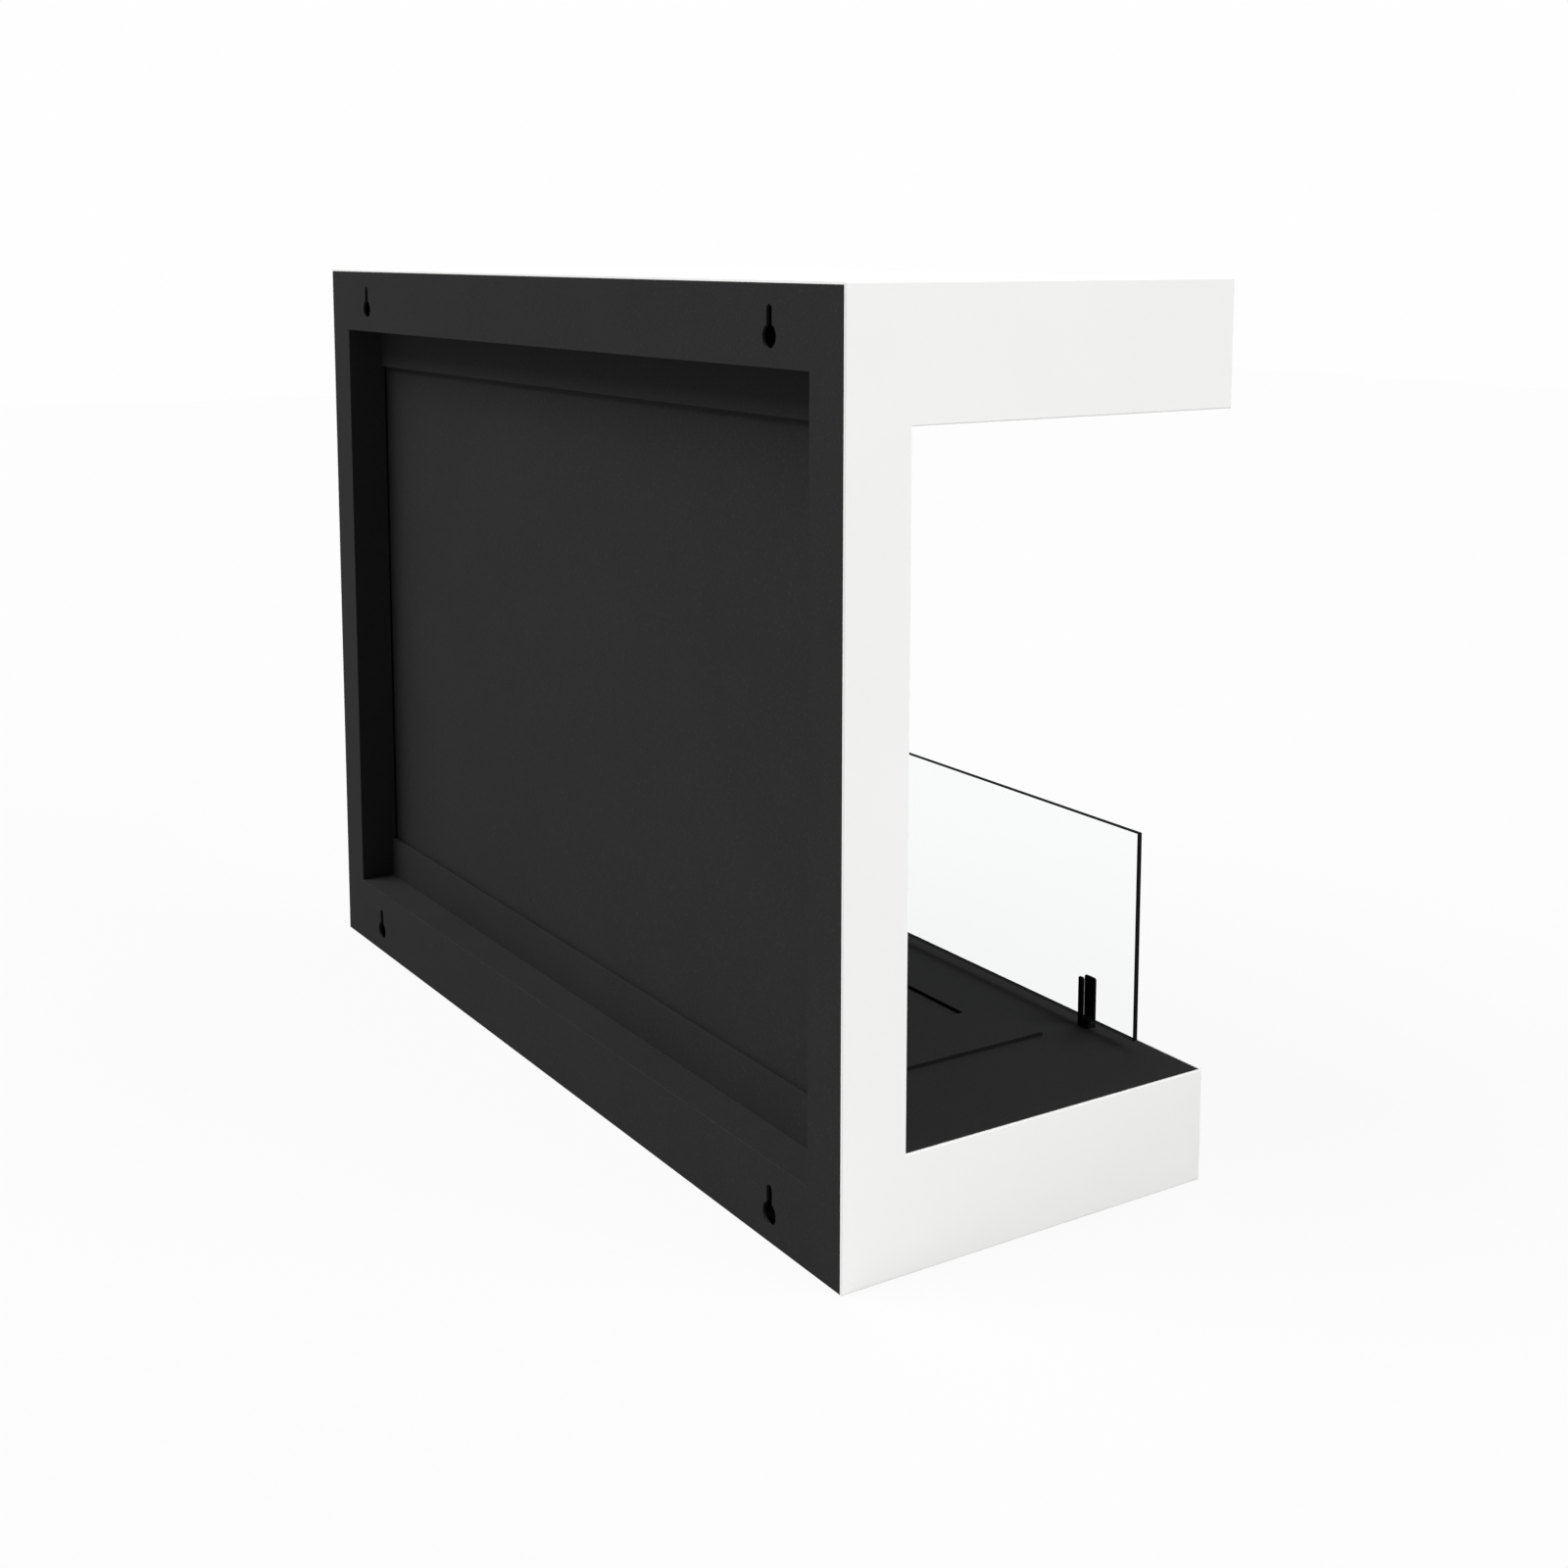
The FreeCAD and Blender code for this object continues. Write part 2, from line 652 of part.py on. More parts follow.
# ------------------------------------------------------------------- burner
def burner_housing():
    """Outer box of the burner insert. Its flange rests on the deck."""
    flange = block((-plate_x, plate_x), (plate_front_y, plate_rear_y), (deck_z, flange_z))
    outer = block((-housing_x, housing_x), (housing_front_y, housing_rear_y), (housing_z, flange_z))
    hollow = block((thin_sheet - housing_x, housing_x - thin_sheet),
                   (housing_front_y + thin_sheet, housing_rear_y - thin_sheet),
                   (housing_z + thin_sheet, flange_z))
    return join(flange, outer).cut(hollow)


def fuel_tank():
    """Stainless tank, open at the top, hung from the lid's ledge."""
    outer = block((-tank_x, tank_x), (tank_front_y, tank_rear_y), (tank_z, ledge_low_z))
    hollow = block((tank_sheet - tank_x, tank_x - tank_sheet),
                   (tank_front_y + tank_sheet, tank_rear_y - tank_sheet),
                   (tank_z + tank_sheet, ledge_low_z))
    return outer.cut(hollow)


def tank_feet():
    """Spacer strips between the tank and the housing's floor."""
    half = tank_foot_width / 2
    low = housing_z + thin_sheet
    return Part.makeCompound([
        block((s * tank_foot_x - half, s * tank_foot_x + half), (tank_front_y, tank_rear_y),
              (low, tank_z)) for s in (-1, 1)])


def ceramic_wool():
    """Fibre pad that soaks up the fuel."""
    x = tank_x - tank_sheet - wool_gap
    y = (tank_front_y + tank_sheet + wool_gap, tank_rear_y - tank_sheet - wool_gap)
    pad = block((-x, x), y, (tank_z + tank_sheet, ledge_low_z - wool_headroom))
    return rounded(pad, wool_round, lambda edge: lies_on(edge, 2, ledge_low_z - wool_headroom))


def burner_top_plate():
    """Black plate with the burner's mouth."""
    plate = block((-plate_x, plate_x), (plate_front_y, plate_rear_y), (flange_z, plate_z))
    mouth = block((-mouth_x, mouth_x), (mouth_front_y, mouth_rear_y), (flange_z, plate_z))
    return rounded(plate.cut(mouth), plate_round, lambda edge: lies_on(edge, 2, plate_z))


def lid_ledge():
    """Frame under the plate: its rim meets the plate and its lip carries the lid."""
    outer = block((-mouth_x - ledge_rim, mouth_x + ledge_rim),
                  (mouth_front_y - ledge_rim, mouth_rear_y + ledge_rim), (ledge_low_z, flange_z))
    seat = block((-mouth_x, mouth_x), (mouth_front_y, mouth_rear_y), (lip_z, flange_z))
    opening = block((ledge_lip - mouth_x, mouth_x - ledge_lip),
                    (mouth_front_y + ledge_lip, mouth_rear_y - ledge_lip), (ledge_low_z, lip_z))
    return outer.cut([seat, opening])


def lid_middle_y():
    """Middle of the mouth from front to rear."""
    return (mouth_front_y + mouth_rear_y) / 2


def rivet_spots():
    """x of the two rivets that hold the lid's handle."""
    x = handle_length / 2 - handle_foot / 2
    return (-x, x)


def burner_lid():
    """Snuffer lid that lies sunk in the mouth."""
    x = mouth_x - lid_gap
    sheet = block((-x, x), (mouth_front_y + lid_gap, mouth_rear_y - lid_gap), (lip_z, flange_z))
    return sheet.cut([upright(x, lid_middle_y(), lip_z, flange_z, rivet_radius + thread_gap)
                      for x in rivet_spots()])


def lid_handle():
    """Folded bridge on the lid, for the lifting hook."""
    half = handle_length / 2
    y = (lid_middle_y() - handle_width / 2, lid_middle_y() + handle_width / 2)
    low = flange_z
    feet = [block((s * half, s * (half - handle_foot)), y, (low, low + handle_sheet)) for s in (-1, 1)]
    inner = half - handle_foot
    posts = [block((s * inner, s * (inner - handle_sheet)), y, (low, low + handle_height))
             for s in (-1, 1)]
    bar = block((-inner, inner), y, (low + handle_height - handle_sheet, low + handle_height))
    body = join(*feet, *posts, bar)
    return body.cut([upright(x, lid_middle_y(), low, low + handle_sheet, rivet_radius + thread_gap)
                     for x in rivet_spots()])


def handle_rivets():
    """Rivets through the handle's feet and the lid."""
    rivets = []
    top = flange_z + handle_sheet
    for x in rivet_spots():
        shank = upright(x, lid_middle_y(), lip_z, top, rivet_radius)
        head = upright(x, lid_middle_y(), top, top + rivet_head_height, rivet_head_radius)
        rivets.append(join(shank, head))
    return Part.makeCompound(rivets)


# -------------------------------------------------------------------- glass
def glass_pane():
    """Clear screen with ground edges."""
    pane = block((-pane_x, pane_x), (pane_front_y, pane_rear_y), (pane_z, pane_z + pane_height))
    return pane.makeChamfer(pane_arris, pane.Edges)


def holder_spots():
    """(x, y) of the two glass holders' middles."""
    return [(s * holder_x, (pane_front_y + pane_rear_y) / 2) for s in (-1, 1)]


def glass_holder():
    """Upright U-shaped holder on the deck, with a full front wall and a narrow rear one."""
    half = holder_width / 2
    x = (holder_x - half, holder_x + half)
    front = pane_front_y - pane_gap
    rear = pane_rear_y + pane_gap
    body = block(x, (front - holder_wall, rear + holder_wall), (deck_z, deck_z + holder_height))
    top = deck_z + holder_height
    body = body.cut(block(x, (front, rear), (slot_z, top)))
    tab_x = x[0] + holder_tab_width
    body = body.cut(block((tab_x, x[1]), (rear, rear + holder_wall), (slot_z, top)))
    corners = (x[0], tab_x, x[1])
    body = rounded(body, holder_round, lambda edge: lies_on(edge, 2, top)
                   and any(lies_on(edge, 0, corner) for corner in corners))
    return body.cut(stud_holes(holder_spots(), deck_z, slot_z, small_screw_radius + thread_gap))


def holder_pads():
    """Silicone pads on the holders' floors, under the glass."""
    half = holder_width / 2
    y = (pane_front_y, pane_rear_y)
    return Part.makeCompound([block((s * holder_x - half, s * holder_x + half), y, (slot_z, pane_z))
                              for s in (-1, 1)])


def holder_screws():
    """Screws from under the deck into the holders."""
    screws = []
    face_z = ledge_z - skin
    for x, y in holder_spots():
        head = upright(x, y, face_z - small_head_height, face_z, small_head_radius)
        shank = upright(x, y, face_z, slot_z, small_screw_radius)
        screws.append(join(head, shank))
    return Part.makeCompound(screws)


PIECES = {
    "right_cheek": cheek,
    "left_cheek": lambda: mirrored(cheek()),
    "hood_top": hood_top,
    "hood_fascia": hood_fascia,
    "base_fascia": base_fascia,
    "wall_frame": wall_frame,
    "frame_nuts": frame_nuts,
    "hood_rear_panel": hood_rear_panel,
    "hood_ceiling": hood_ceiling,
    "hood_crossmember_right": hood_crossmember,
    "hood_crossmember_left": lambda: mirrored(hood_crossmember()),
    "ceiling_screws": ceiling_screws,
    "hood_heat_shield": hood_heat_shield,
    "shield_screws": shield_screws,
    "base_rear_panel": base_rear_panel,
    "base_deck": base_deck,
    "deck_nuts": deck_nuts,
    "deck_beam_right": deck_beam,
    "deck_beam_left": lambda: mirrored(deck_beam()),
    "base_bottom_pan": base_bottom_pan,
    "pan_screws": pan_screws,
    "pan_rivet_nuts": pan_rivet_nuts,
    "safety_tray": safety_tray,
    "tray_stands": tray_stands,
    "firebox_rear_panel": firebox_rear_panel,
    "firebox_back_lining": firebox_back_lining,
    "insulation_board": insulation_board,
    "lining_nuts": lining_nuts,
    "panel_seal": panel_seal,
    "burner_housing": burner_housing,
    "fuel_tank": fuel_tank,
    "tank_feet": tank_feet,
    "ceramic_wool": ceramic_wool,
    "burner_top_plate": burner_top_plate,
    "lid_ledge": lid_ledge,
    "burner_lid": burner_lid,
    "lid_handle": lid_handle,
    "handle_rivets": handle_rivets,
    "glass_pane": glass_pane,
    "right_glass_holder": glass_holder,
    "left_glass_holder": lambda: mirrored(glass_holder()),
    "holder_pads": holder_pads,
    "holder_screws": holder_screws,
}

os.makedirs("parts", exist_ok=True)
for name, make in PIECES.items():
    make().exportStep("parts/" + name + ".step")
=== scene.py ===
"""Wall-hung three-sided ethanol fireplace: finishes, small hardware and studio, as a Blender add-on.

The sheet-metal pieces come from the CAD frame and only get their finishes here. Screws, nuts,
rivets, the lid's handle, the seal tape, the ceramic wool and the glass pane are modelled anew.
Metres, Z up: the wall is at +Y, the open front at -Y and the open ends at -X and +X.
"""

import math

import bmesh
import bpy
from mathutils import Matrix, Vector, noise


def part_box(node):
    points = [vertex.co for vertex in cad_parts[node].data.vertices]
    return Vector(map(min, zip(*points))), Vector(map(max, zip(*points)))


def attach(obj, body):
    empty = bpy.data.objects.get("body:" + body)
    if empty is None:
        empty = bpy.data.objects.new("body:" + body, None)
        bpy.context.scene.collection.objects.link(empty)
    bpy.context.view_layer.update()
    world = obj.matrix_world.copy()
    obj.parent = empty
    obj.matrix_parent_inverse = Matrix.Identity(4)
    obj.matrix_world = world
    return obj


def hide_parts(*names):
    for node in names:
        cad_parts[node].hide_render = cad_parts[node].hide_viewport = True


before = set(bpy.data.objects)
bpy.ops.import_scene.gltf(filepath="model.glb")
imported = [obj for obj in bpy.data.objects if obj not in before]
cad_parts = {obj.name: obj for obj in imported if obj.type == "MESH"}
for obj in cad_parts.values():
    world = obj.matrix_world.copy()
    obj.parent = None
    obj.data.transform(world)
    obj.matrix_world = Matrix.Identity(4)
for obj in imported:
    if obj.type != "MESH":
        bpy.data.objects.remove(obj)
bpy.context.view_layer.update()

bl_info = {
    "name": "Three-sided fireplace",
    "version": (1, 0, 0),
    "blender": (4, 5, 0),
    "location": "3D View > Sidebar > Fireplace",
    "description": "Finishes, hardware and studio of a wall-hung ethanol fireplace",
    "category": "Object",
}

MM = 0.001
ROUND = 24                    # sides of a turned shape, a multiple of a hexagon's 6
SHARP = math.radians(35)      # edges that turn more than this show as edges
MERGE = 0.01 * MM


def linear(code):
    """Linear red, green and blue of an sRGB hex colour."""
    shares = [int(code[k:k + 2], 16) / 255 for k in (0, 2, 4)]
    return [s / 12.92 if s <= 0.04045 else ((s + 0.055) / 1.055) ** 2.4 for s in shares]


# ------------------------------------------------------------------ settings
def colour(name, description, code):
    """A colour setting with an sRGB hex default."""
    return bpy.props.FloatVectorProperty(
        name=name, description=description, default=linear(code),
        size=3, min=0.0, max=1.0, subtype="COLOR")


def length(name, description, millimetres):
    """A length setting, kept in metres."""
    return bpy.props.FloatProperty(
        name=name, description=description, default=millimetres * MM,
        min=0.0, precision=5, subtype="DISTANCE", unit="LENGTH")


def share(name, description, value):
    """A setting from 0 to 1."""
    return bpy.props.FloatProperty(
        name=name, description=description, default=value, min=0.0, max=1.0, subtype="FACTOR")


def power(name, description, value):
    """Strength of a light."""
    return bpy.props.FloatProperty(name=name, description=description, default=value, min=0.0)


class FinishSettings(bpy.types.PropertyGroup):
    """Colours and grain of the finishes."""
    white: colour("White coat", "Powder coat of the casing", "f3f3f2")
    black: colour("Black coat", "Heat-resistant powder coat of the black sheets", "272727")
    lacquer: colour("Holder lacquer", "Smooth lacquer of the glass holders", "070707")
    zinc: colour("Zinc plate", "Plated brackets, beams and nuts", "b4b7ba")
    stainless: colour("Stainless", "Brushed tank and ledge", "bcb8b1")
    aluminium: colour("Aluminium", "Heat shield", "d2d4d6")
    oxide: colour("Black oxide", "Black screws, nuts and rivets", "1a1a1c")
    board: colour("Fibre board", "Insulation board", "cfc6b4")
    wool: colour("Ceramic wool", "Pad in the fuel tank", "efece4")
    tape: colour("Seal tape", "Woven glass-fibre tape", "232323")
    silicone: colour("Silicone", "Pads under the glass", "0d0d0e")
    glass: colour("Glass", "Clear toughened glass", "feffff")
    mirror: share("Glass mirror", "Share of light that the glass mirrors, seen square on", 0.004)
    slant_mirror: share("Slant mirror", "Share of light that it mirrors, seen at a slant", 0.6)
    glass_edge: colour("Glass edge", "Ground and blackened edges", "030303")
    # Painted shade: how dark the burner's upright faces are drawn beside its level faces.
    painted_edge_shade: share("Painted edge shade", "How bright the burner's cut edges are beside its faces", 0.3)
    peel: length("Orange peel", "Wavelength of the white coat's surface", 2.5)
    grain: length("Black grain", "Grain of the black coat", 1.6)
    spangle: length("Zinc spangle", "Crystal size of the plated sheets", 7.0)
    brushing: length("Brush lines", "Spacing of the brush lines", 0.8)
    thread: length("Tape thread", "Spacing of the tape's threads", 1.2)


class HardwareSettings(bpy.types.PropertyGroup):
    """Details of screws, nuts, rivets and the lid's handle."""
    pitch: length("Thread pitch", "Rise of one turn of thread", 0.7)
    thread_depth: length("Thread depth", "Depth of the thread", 0.35)
    button_socket: length("Button socket", "Across flats, in the button heads", 2.5)
    small_socket: length("Small socket", "Across flats, in the small heads", 2.0)
    nut_chamfer: length("Nut chamfer", "Height of a nut's chamfer", 0.45)
    rivet_dome: length("Rivet rim", "Height of a rivet head's straight rim", 0.2)
    button_height: length("Button head", "Height of the button heads", 2.2)
    small_height: length("Small head", "Height of the cylinder and countersunk heads", 1.7)
    button_shank: length("Button shank", "Radius of the M4 shanks", 2.0)
    small_shank: length("Small shank", "Radius of the M3 shanks", 1.5)
    nut_bore: length("Nut bore", "Radius of a nut's bore", 2.1)
    insert_bore: length("Insert bore", "Radius of a rivet nut's bore", 1.6)
    insert_ledge: length("Insert ledge", "Thickness of the ledge that a rivet nut grips", 1.5)
    rivet_head: length("Rivet head", "Height of a rivet's head", 0.9)
    rivet_shank: length("Rivet shank", "Radius of a rivet's shank", 1.6)
    strip: length("Handle strip", "Thickness of the lid handle's strip", 1.5)
    foot: length("Handle foot", "Length of each foot of the handle", 10.0)
    bend: length("Handle bend", "Bend radius of the strip's middle", 2.4)
    strip_corner: length("Strip corner", "Rounding of the handle's foot corners", 2.5)
    strip_edge: length("Strip edge", "Rounding of the strip's edges", 0.25)
    arris: length("Glass arris", "Width of the pane's ground arris", 0.5)


class SoftSettings(bpy.types.PropertyGroup):
    """Details of the ceramic wool and the seal tape."""
    wool_round: length("Wool edge", "Rounding of the pad's edges", 5.0)
    wool_cell: length("Wool cell", "Mesh size of the pad", 3.0)
    wool_lump: length("Wool lumps", "Height of the pad's unevenness", 1.6)
    wool_wave: length("Wool wave", "Width of the pad's unevenness", 28.0)
    tape_round: length("Tape edge", "Rounding of the tape's edges", 0.6)
    tape_wave: length("Tape wave", "Width of the tape's unevenness", 14.0)
    tape_swell: share("Tape swell", "Share by which the tape's thickness varies", 0.06)


class StudioSettings(bpy.types.PropertyGroup):
    """Camera, floor and lights."""
    eye: bpy.props.FloatVectorProperty(
        name="Camera place", description="Where the camera stands",
        default=(-1.35419, 0.80575, 0.61889), size=3, subtype="TRANSLATION", unit="LENGTH")
    azimuth: bpy.props.FloatProperty(
        name="Azimuth", description="Side that the camera stands on",
        default=math.radians(237.5), subtype="ANGLE", unit="ROTATION")
    elevation: bpy.props.FloatProperty(
        name="Elevation", description="How far the camera looks down",
        default=math.radians(7.357), subtype="ANGLE", unit="ROTATION")
    lens: bpy.props.FloatProperty(
        name="Lens", description="Focal length", default=47.34, subtype="DISTANCE_CAMERA")
    shift_x: bpy.props.FloatProperty(
        name="Shift X", description="Sideways shift of the lens", default=0.00676)
    shift_y: bpy.props.FloatProperty(
        name="Shift Y", description="Upright shift of the lens", default=-0.17223)
    floor: length("Floor", "Width of the floor", 14000.0)
    paper: colour("Paper", "Floor and surroundings", "fefefe")
    glow: share("Surroundings", "Light that the surroundings give", 0.26)
    floor_tone: share("Floor tone", "Share of the light that the floor sends back", 0.35)
    floor_glow: power("Floor glow", "Brightness of the floor as it is seen", 1.05)
    floor_evenness: share("Floor evenness", "How much the floor hides its shadows", 0.88)
    rear_light: power("Rear light", "Strength of the rear softbox", 3.45)
    side_light: power("Side light", "Strength of the side softbox", 2.5)
    front_light: power("Front light", "Strength of the front softbox", 0.5)
    softness: bpy.props.FloatProperty(
        name="Softness", description="Width of each softbox as the object sees it",
        default=math.radians(40.0), subtype="ANGLE", unit="ROTATION")


# ----------------------------------------------------------------- materials
def add(tree, kind, inputs=None, **settings):
    """Adds a node. inputs holds a value or another node's output for each socket."""
    made = tree.nodes.new(kind)
    for name, value in settings.items():
        setattr(made, name, value)
    for socket, value in (inputs or {}).items():
        if isinstance(value, bpy.types.NodeSocket):
            tree.links.new(value, made.inputs[socket])
        else:
            made.inputs[socket].default_value = value
    return made


def paint(rgb, brightness=1.0):
    """A socket's four numbers for a colour, made lighter or darker."""
    return [min(1.0, part * brightness) for part in rgb] + [1.0]


def begin(name):
    """A new material with no nodes, and its object coordinates."""
    made = bpy.data.materials.new(name)
    made.use_nodes = True
    made.node_tree.nodes.clear()
    place = add(made.node_tree, "ShaderNodeTexCoord").outputs["Object"]
    return made, made.node_tree, place


def end(made, shader):
    """Connects a material's shader to its output."""
    add(made.node_tree, "ShaderNodeOutputMaterial", {"Surface": shader})
    return made


def stretched(tree, place, sizes):
    """Coordinates in which a pattern of scale 1 has these sizes along X, Y and Z."""
    return add(tree, "ShaderNodeMapping", {
        "Vector": place, "Scale": [1 / size for size in sizes]}).outputs["Vector"]


def satin_white_powder_coat(finish):
    """Satin polyester powder coat on steel: an even film with a faint orange peel.
    """
    made, tree, place = begin("satin white powder coat")
    peel = add(tree, "ShaderNodeTexNoise", {
        "Vector": place, "Scale": 1 / finish.peel, "Detail": 2.0})
    film = add(tree, "ShaderNodeTexNoise", {"Vector": place, "Scale": 9.0, "Detail": 3.0})
    even = add(tree, "ShaderNodeMix", {
        0: film.outputs["Fac"], 6: paint(finish.white, 0.985), 7: paint(finish.white, 1.015)},
        data_type="RGBA")
    rough = add(tree, "ShaderNodeMapRange", {
        "Value": film.outputs["Fac"], "To Min": 0.36, "To Max": 0.46})
    bump = add(tree, "ShaderNodeBump", {
        "Strength": 0.25, "Distance": 0.03 * MM, "Height": peel.outputs["Fac"]})
    shader = add(tree, "ShaderNodeBsdfPrincipled", {
        "Base Color": even.outputs[2], "Roughness": rough.outputs["Result"],
        "Normal": bump.outputs["Normal"]})
    return end(made, shader.outputs["BSDF"])


def textured_black_powder_coat(finish, name="textured black powder coat", painted_upright_shade=1.0):
    """Heat-resistant fine-texture powder coat: matt, with a sandy grain.

    The real grain is about 0.3 mm. It is drawn coarser, so that it shows. The last argument
    is painted shade: how bright upright faces are drawn beside level ones.
    """
    made, tree, place = begin(name)
    grain = add(tree, "ShaderNodeTexNoise", {
        "Vector": place, "Scale": 1 / finish.grain, "Detail": 3.0, "Roughness": 0.6})
    cloud = add(tree, "ShaderNodeTexNoise", {"Vector": place, "Scale": 14.0, "Detail": 4.0})
    base = add(tree, "ShaderNodeMix", {
        0: cloud.outputs["Fac"], 6: paint(finish.black, 0.85), 7: paint(finish.black, 1.15)},
        data_type="RGBA")
    grains = add(tree, "ShaderNodeMapRange", {
        "Value": grain.outputs["Fac"], "From Min": 0.55, "From Max": 0.75, "To Max": 0.5})
    colours = add(tree, "ShaderNodeMix", {
        0: grains.outputs["Result"], 6: base.outputs[2], 7: paint(finish.black, 2.0)},
        data_type="RGBA")
    # Painted shade: upright faces take a darker colour than level ones.
    if painted_upright_shade < 1.0:
        normal = add(tree, "ShaderNodeNewGeometry").outputs["Normal"]
        slope = add(tree, "ShaderNodeSeparateXYZ", {"Vector": normal})
        level = add(tree, "ShaderNodeMath", {0: slope.outputs["Z"]}, operation="ABSOLUTE")
        colours = add(tree, "ShaderNodeMix", {
            0: level.outputs["Value"], 6: paint(finish.black, painted_upright_shade), 7: colours.outputs[2]},
            data_type="RGBA")
    rough = add(tree, "ShaderNodeMapRange", {
        "Value": cloud.outputs["Fac"], "To Min": 0.66, "To Max": 0.82})
    bump = add(tree, "ShaderNodeBump", {
        "Strength": 0.35, "Distance": 0.12 * MM, "Height": grain.outputs["Fac"]})
    shader = add(tree, "ShaderNodeBsdfPrincipled", {
        "Base Color": colours.outputs[2], "Roughness": rough.outputs["Result"],
        "Specular IOR Level": 0.1, "Normal": bump.outputs["Normal"]})
    return end(made, shader.outputs["BSDF"])


def smooth_black_lacquer(finish):
    """High-temperature lacquer, sprayed thin: smooth, deep black and half matt."""
    made, tree, place = begin("smooth black lacquer")
    spray = add(tree, "ShaderNodeTexNoise", {
        "Vector": place, "Scale": 1 / (1.2 * MM), "Detail": 2.0})
    colours = add(tree, "ShaderNodeMix", {
        0: spray.outputs["Fac"], 6: paint(finish.lacquer, 0.7), 7: paint(finish.lacquer, 1.4)},
        data_type="RGBA")
    rough = add(tree, "ShaderNodeMapRange", {
        "Value": spray.outputs["Fac"], "To Min": 0.45, "To Max": 0.6})
    shader = add(tree, "ShaderNodeBsdfPrincipled", {
        "Base Color": colours.outputs[2], "Roughness": rough.outputs["Result"],
        "Specular IOR Level": 0.1})
    return end(made, shader.outputs["BSDF"])


def spangled_zinc(finish):
    """Zinc-plated sheet: flat crystals that catch the light differently."""
    made, tree, place = begin("spangled zinc plate")
    crystal = add(tree, "ShaderNodeTexVoronoi", {
        "Vector": place, "Scale": 1 / finish.spangle, "Randomness": 1.0})
    tone = add(tree, "ShaderNodeSeparateColor", {"Color": crystal.outputs["Color"]})
    colours = add(tree, "ShaderNodeMix", {
        0: tone.outputs["Red"], 6: paint(finish.zinc, 0.82), 7: paint(finish.zinc, 1.1)},
        data_type="RGBA")
    rough = add(tree, "ShaderNodeMapRange", {
        "Value": tone.outputs["Green"], "To Min": 0.32, "To Max": 0.52})
    shader = add(tree, "ShaderNodeBsdfPrincipled", {
        "Base Color": colours.outputs[2], "Metallic": 1.0, "Roughness": rough.outputs["Result"]})
    return end(made, shader.outputs["BSDF"])


def brushed_metal(name, rgb, spacing, low_rough, high_rough):
    """Metal with fine lines along X, from the brush or the rolling mill."""
    made, tree, place = begin(name)
    lines = stretched(tree, place, (60 * MM, spacing, spacing))
    brush = add(tree, "ShaderNodeTexNoise", {"Vector": lines, "Scale": 1.0, "Detail": 3.0})
    colours = add(tree, "ShaderNodeMix", {
        0: brush.outputs["Fac"], 6: paint(rgb, 0.86), 7: paint(rgb, 1.1)}, data_type="RGBA")
    rough = add(tree, "ShaderNodeMapRange", {
        "Value": brush.outputs["Fac"], "To Min": low_rough, "To Max": high_rough})
    bump = add(tree, "ShaderNodeBump", {
        "Strength": 0.2, "Distance": 0.02 * MM, "Height": brush.outputs["Fac"]})
    shader = add(tree, "ShaderNodeBsdfPrincipled", {
        "Base Color": colours.outputs[2], "Metallic": 1.0, "Roughness": rough.outputs["Result"],
        "Anisotropic": 0.4, "Normal": bump.outputs["Normal"]})
    return end(made, shader.outputs["BSDF"])


def brushed_stainless(finish):
    """Brushed stainless sheet: warm grey, with lines along the length."""
    return brushed_metal("brushed stainless", finish.stainless, finish.brushing, 0.26, 0.42)


def mill_aluminium(finish):
    """Aluminium sheet as rolled: bright, with faint mill lines."""
    return brushed_metal("mill finish aluminium", finish.aluminium, finish.brushing * 2, 0.2, 0.34)


def black_oxide(finish):
    """Oiled black oxide on steel: dark metal with a dull sheen."""
    made, tree, place = begin("black oxide")
    patch = add(tree, "ShaderNodeTexNoise", {
        "Vector": place, "Scale": 1 / (1.5 * MM), "Detail": 3.0})
    colours = add(tree, "ShaderNodeMix", {
        0: patch.outputs["Fac"], 6: paint(finish.oxide, 0.7), 7: paint(finish.oxide, 1.5)},
        data_type="RGBA")
    rough = add(tree, "ShaderNodeMapRange", {
        "Value": patch.outputs["Fac"], "To Min": 0.34, "To Max": 0.5})
    shader = add(tree, "ShaderNodeBsdfPrincipled", {
        "Base Color": colours.outputs[2], "Metallic": 0.8, "Roughness": rough.outputs["Result"]})
    return end(made, shader.outputs["BSDF"])


def pressed_fibre_board(finish):
    """Pressed mineral fibre: chalky, with short fibres and small pits."""
    made, tree, place = begin("pressed fibre board")
    fibres = add(tree, "ShaderNodeTexNoise", {
        "Vector": place, "Scale": 1 / (3.0 * MM), "Detail": 5.0, "Distortion": 1.5})
    pits = add(tree, "ShaderNodeTexVoronoi", {"Vector": place, "Scale": 1 / (6.0 * MM)})
    colours = add(tree, "ShaderNodeMix", {
        0: fibres.outputs["Fac"], 6: paint(finish.board, 0.82), 7: paint(finish.board, 1.12)},
        data_type="RGBA")
    height = add(tree, "ShaderNodeMath", {
        0: fibres.outputs["Fac"], 1: pits.outputs["Distance"]}, operation="ADD")
    bump = add(tree, "ShaderNodeBump", {
        "Strength": 0.6, "Distance": 0.4 * MM, "Height": height.outputs["Value"]})
    shader = add(tree, "ShaderNodeBsdfPrincipled", {
        "Base Color": colours.outputs[2], "Roughness": 0.95, "Normal": bump.outputs["Normal"]})
    return end(made, shader.outputs["BSDF"])


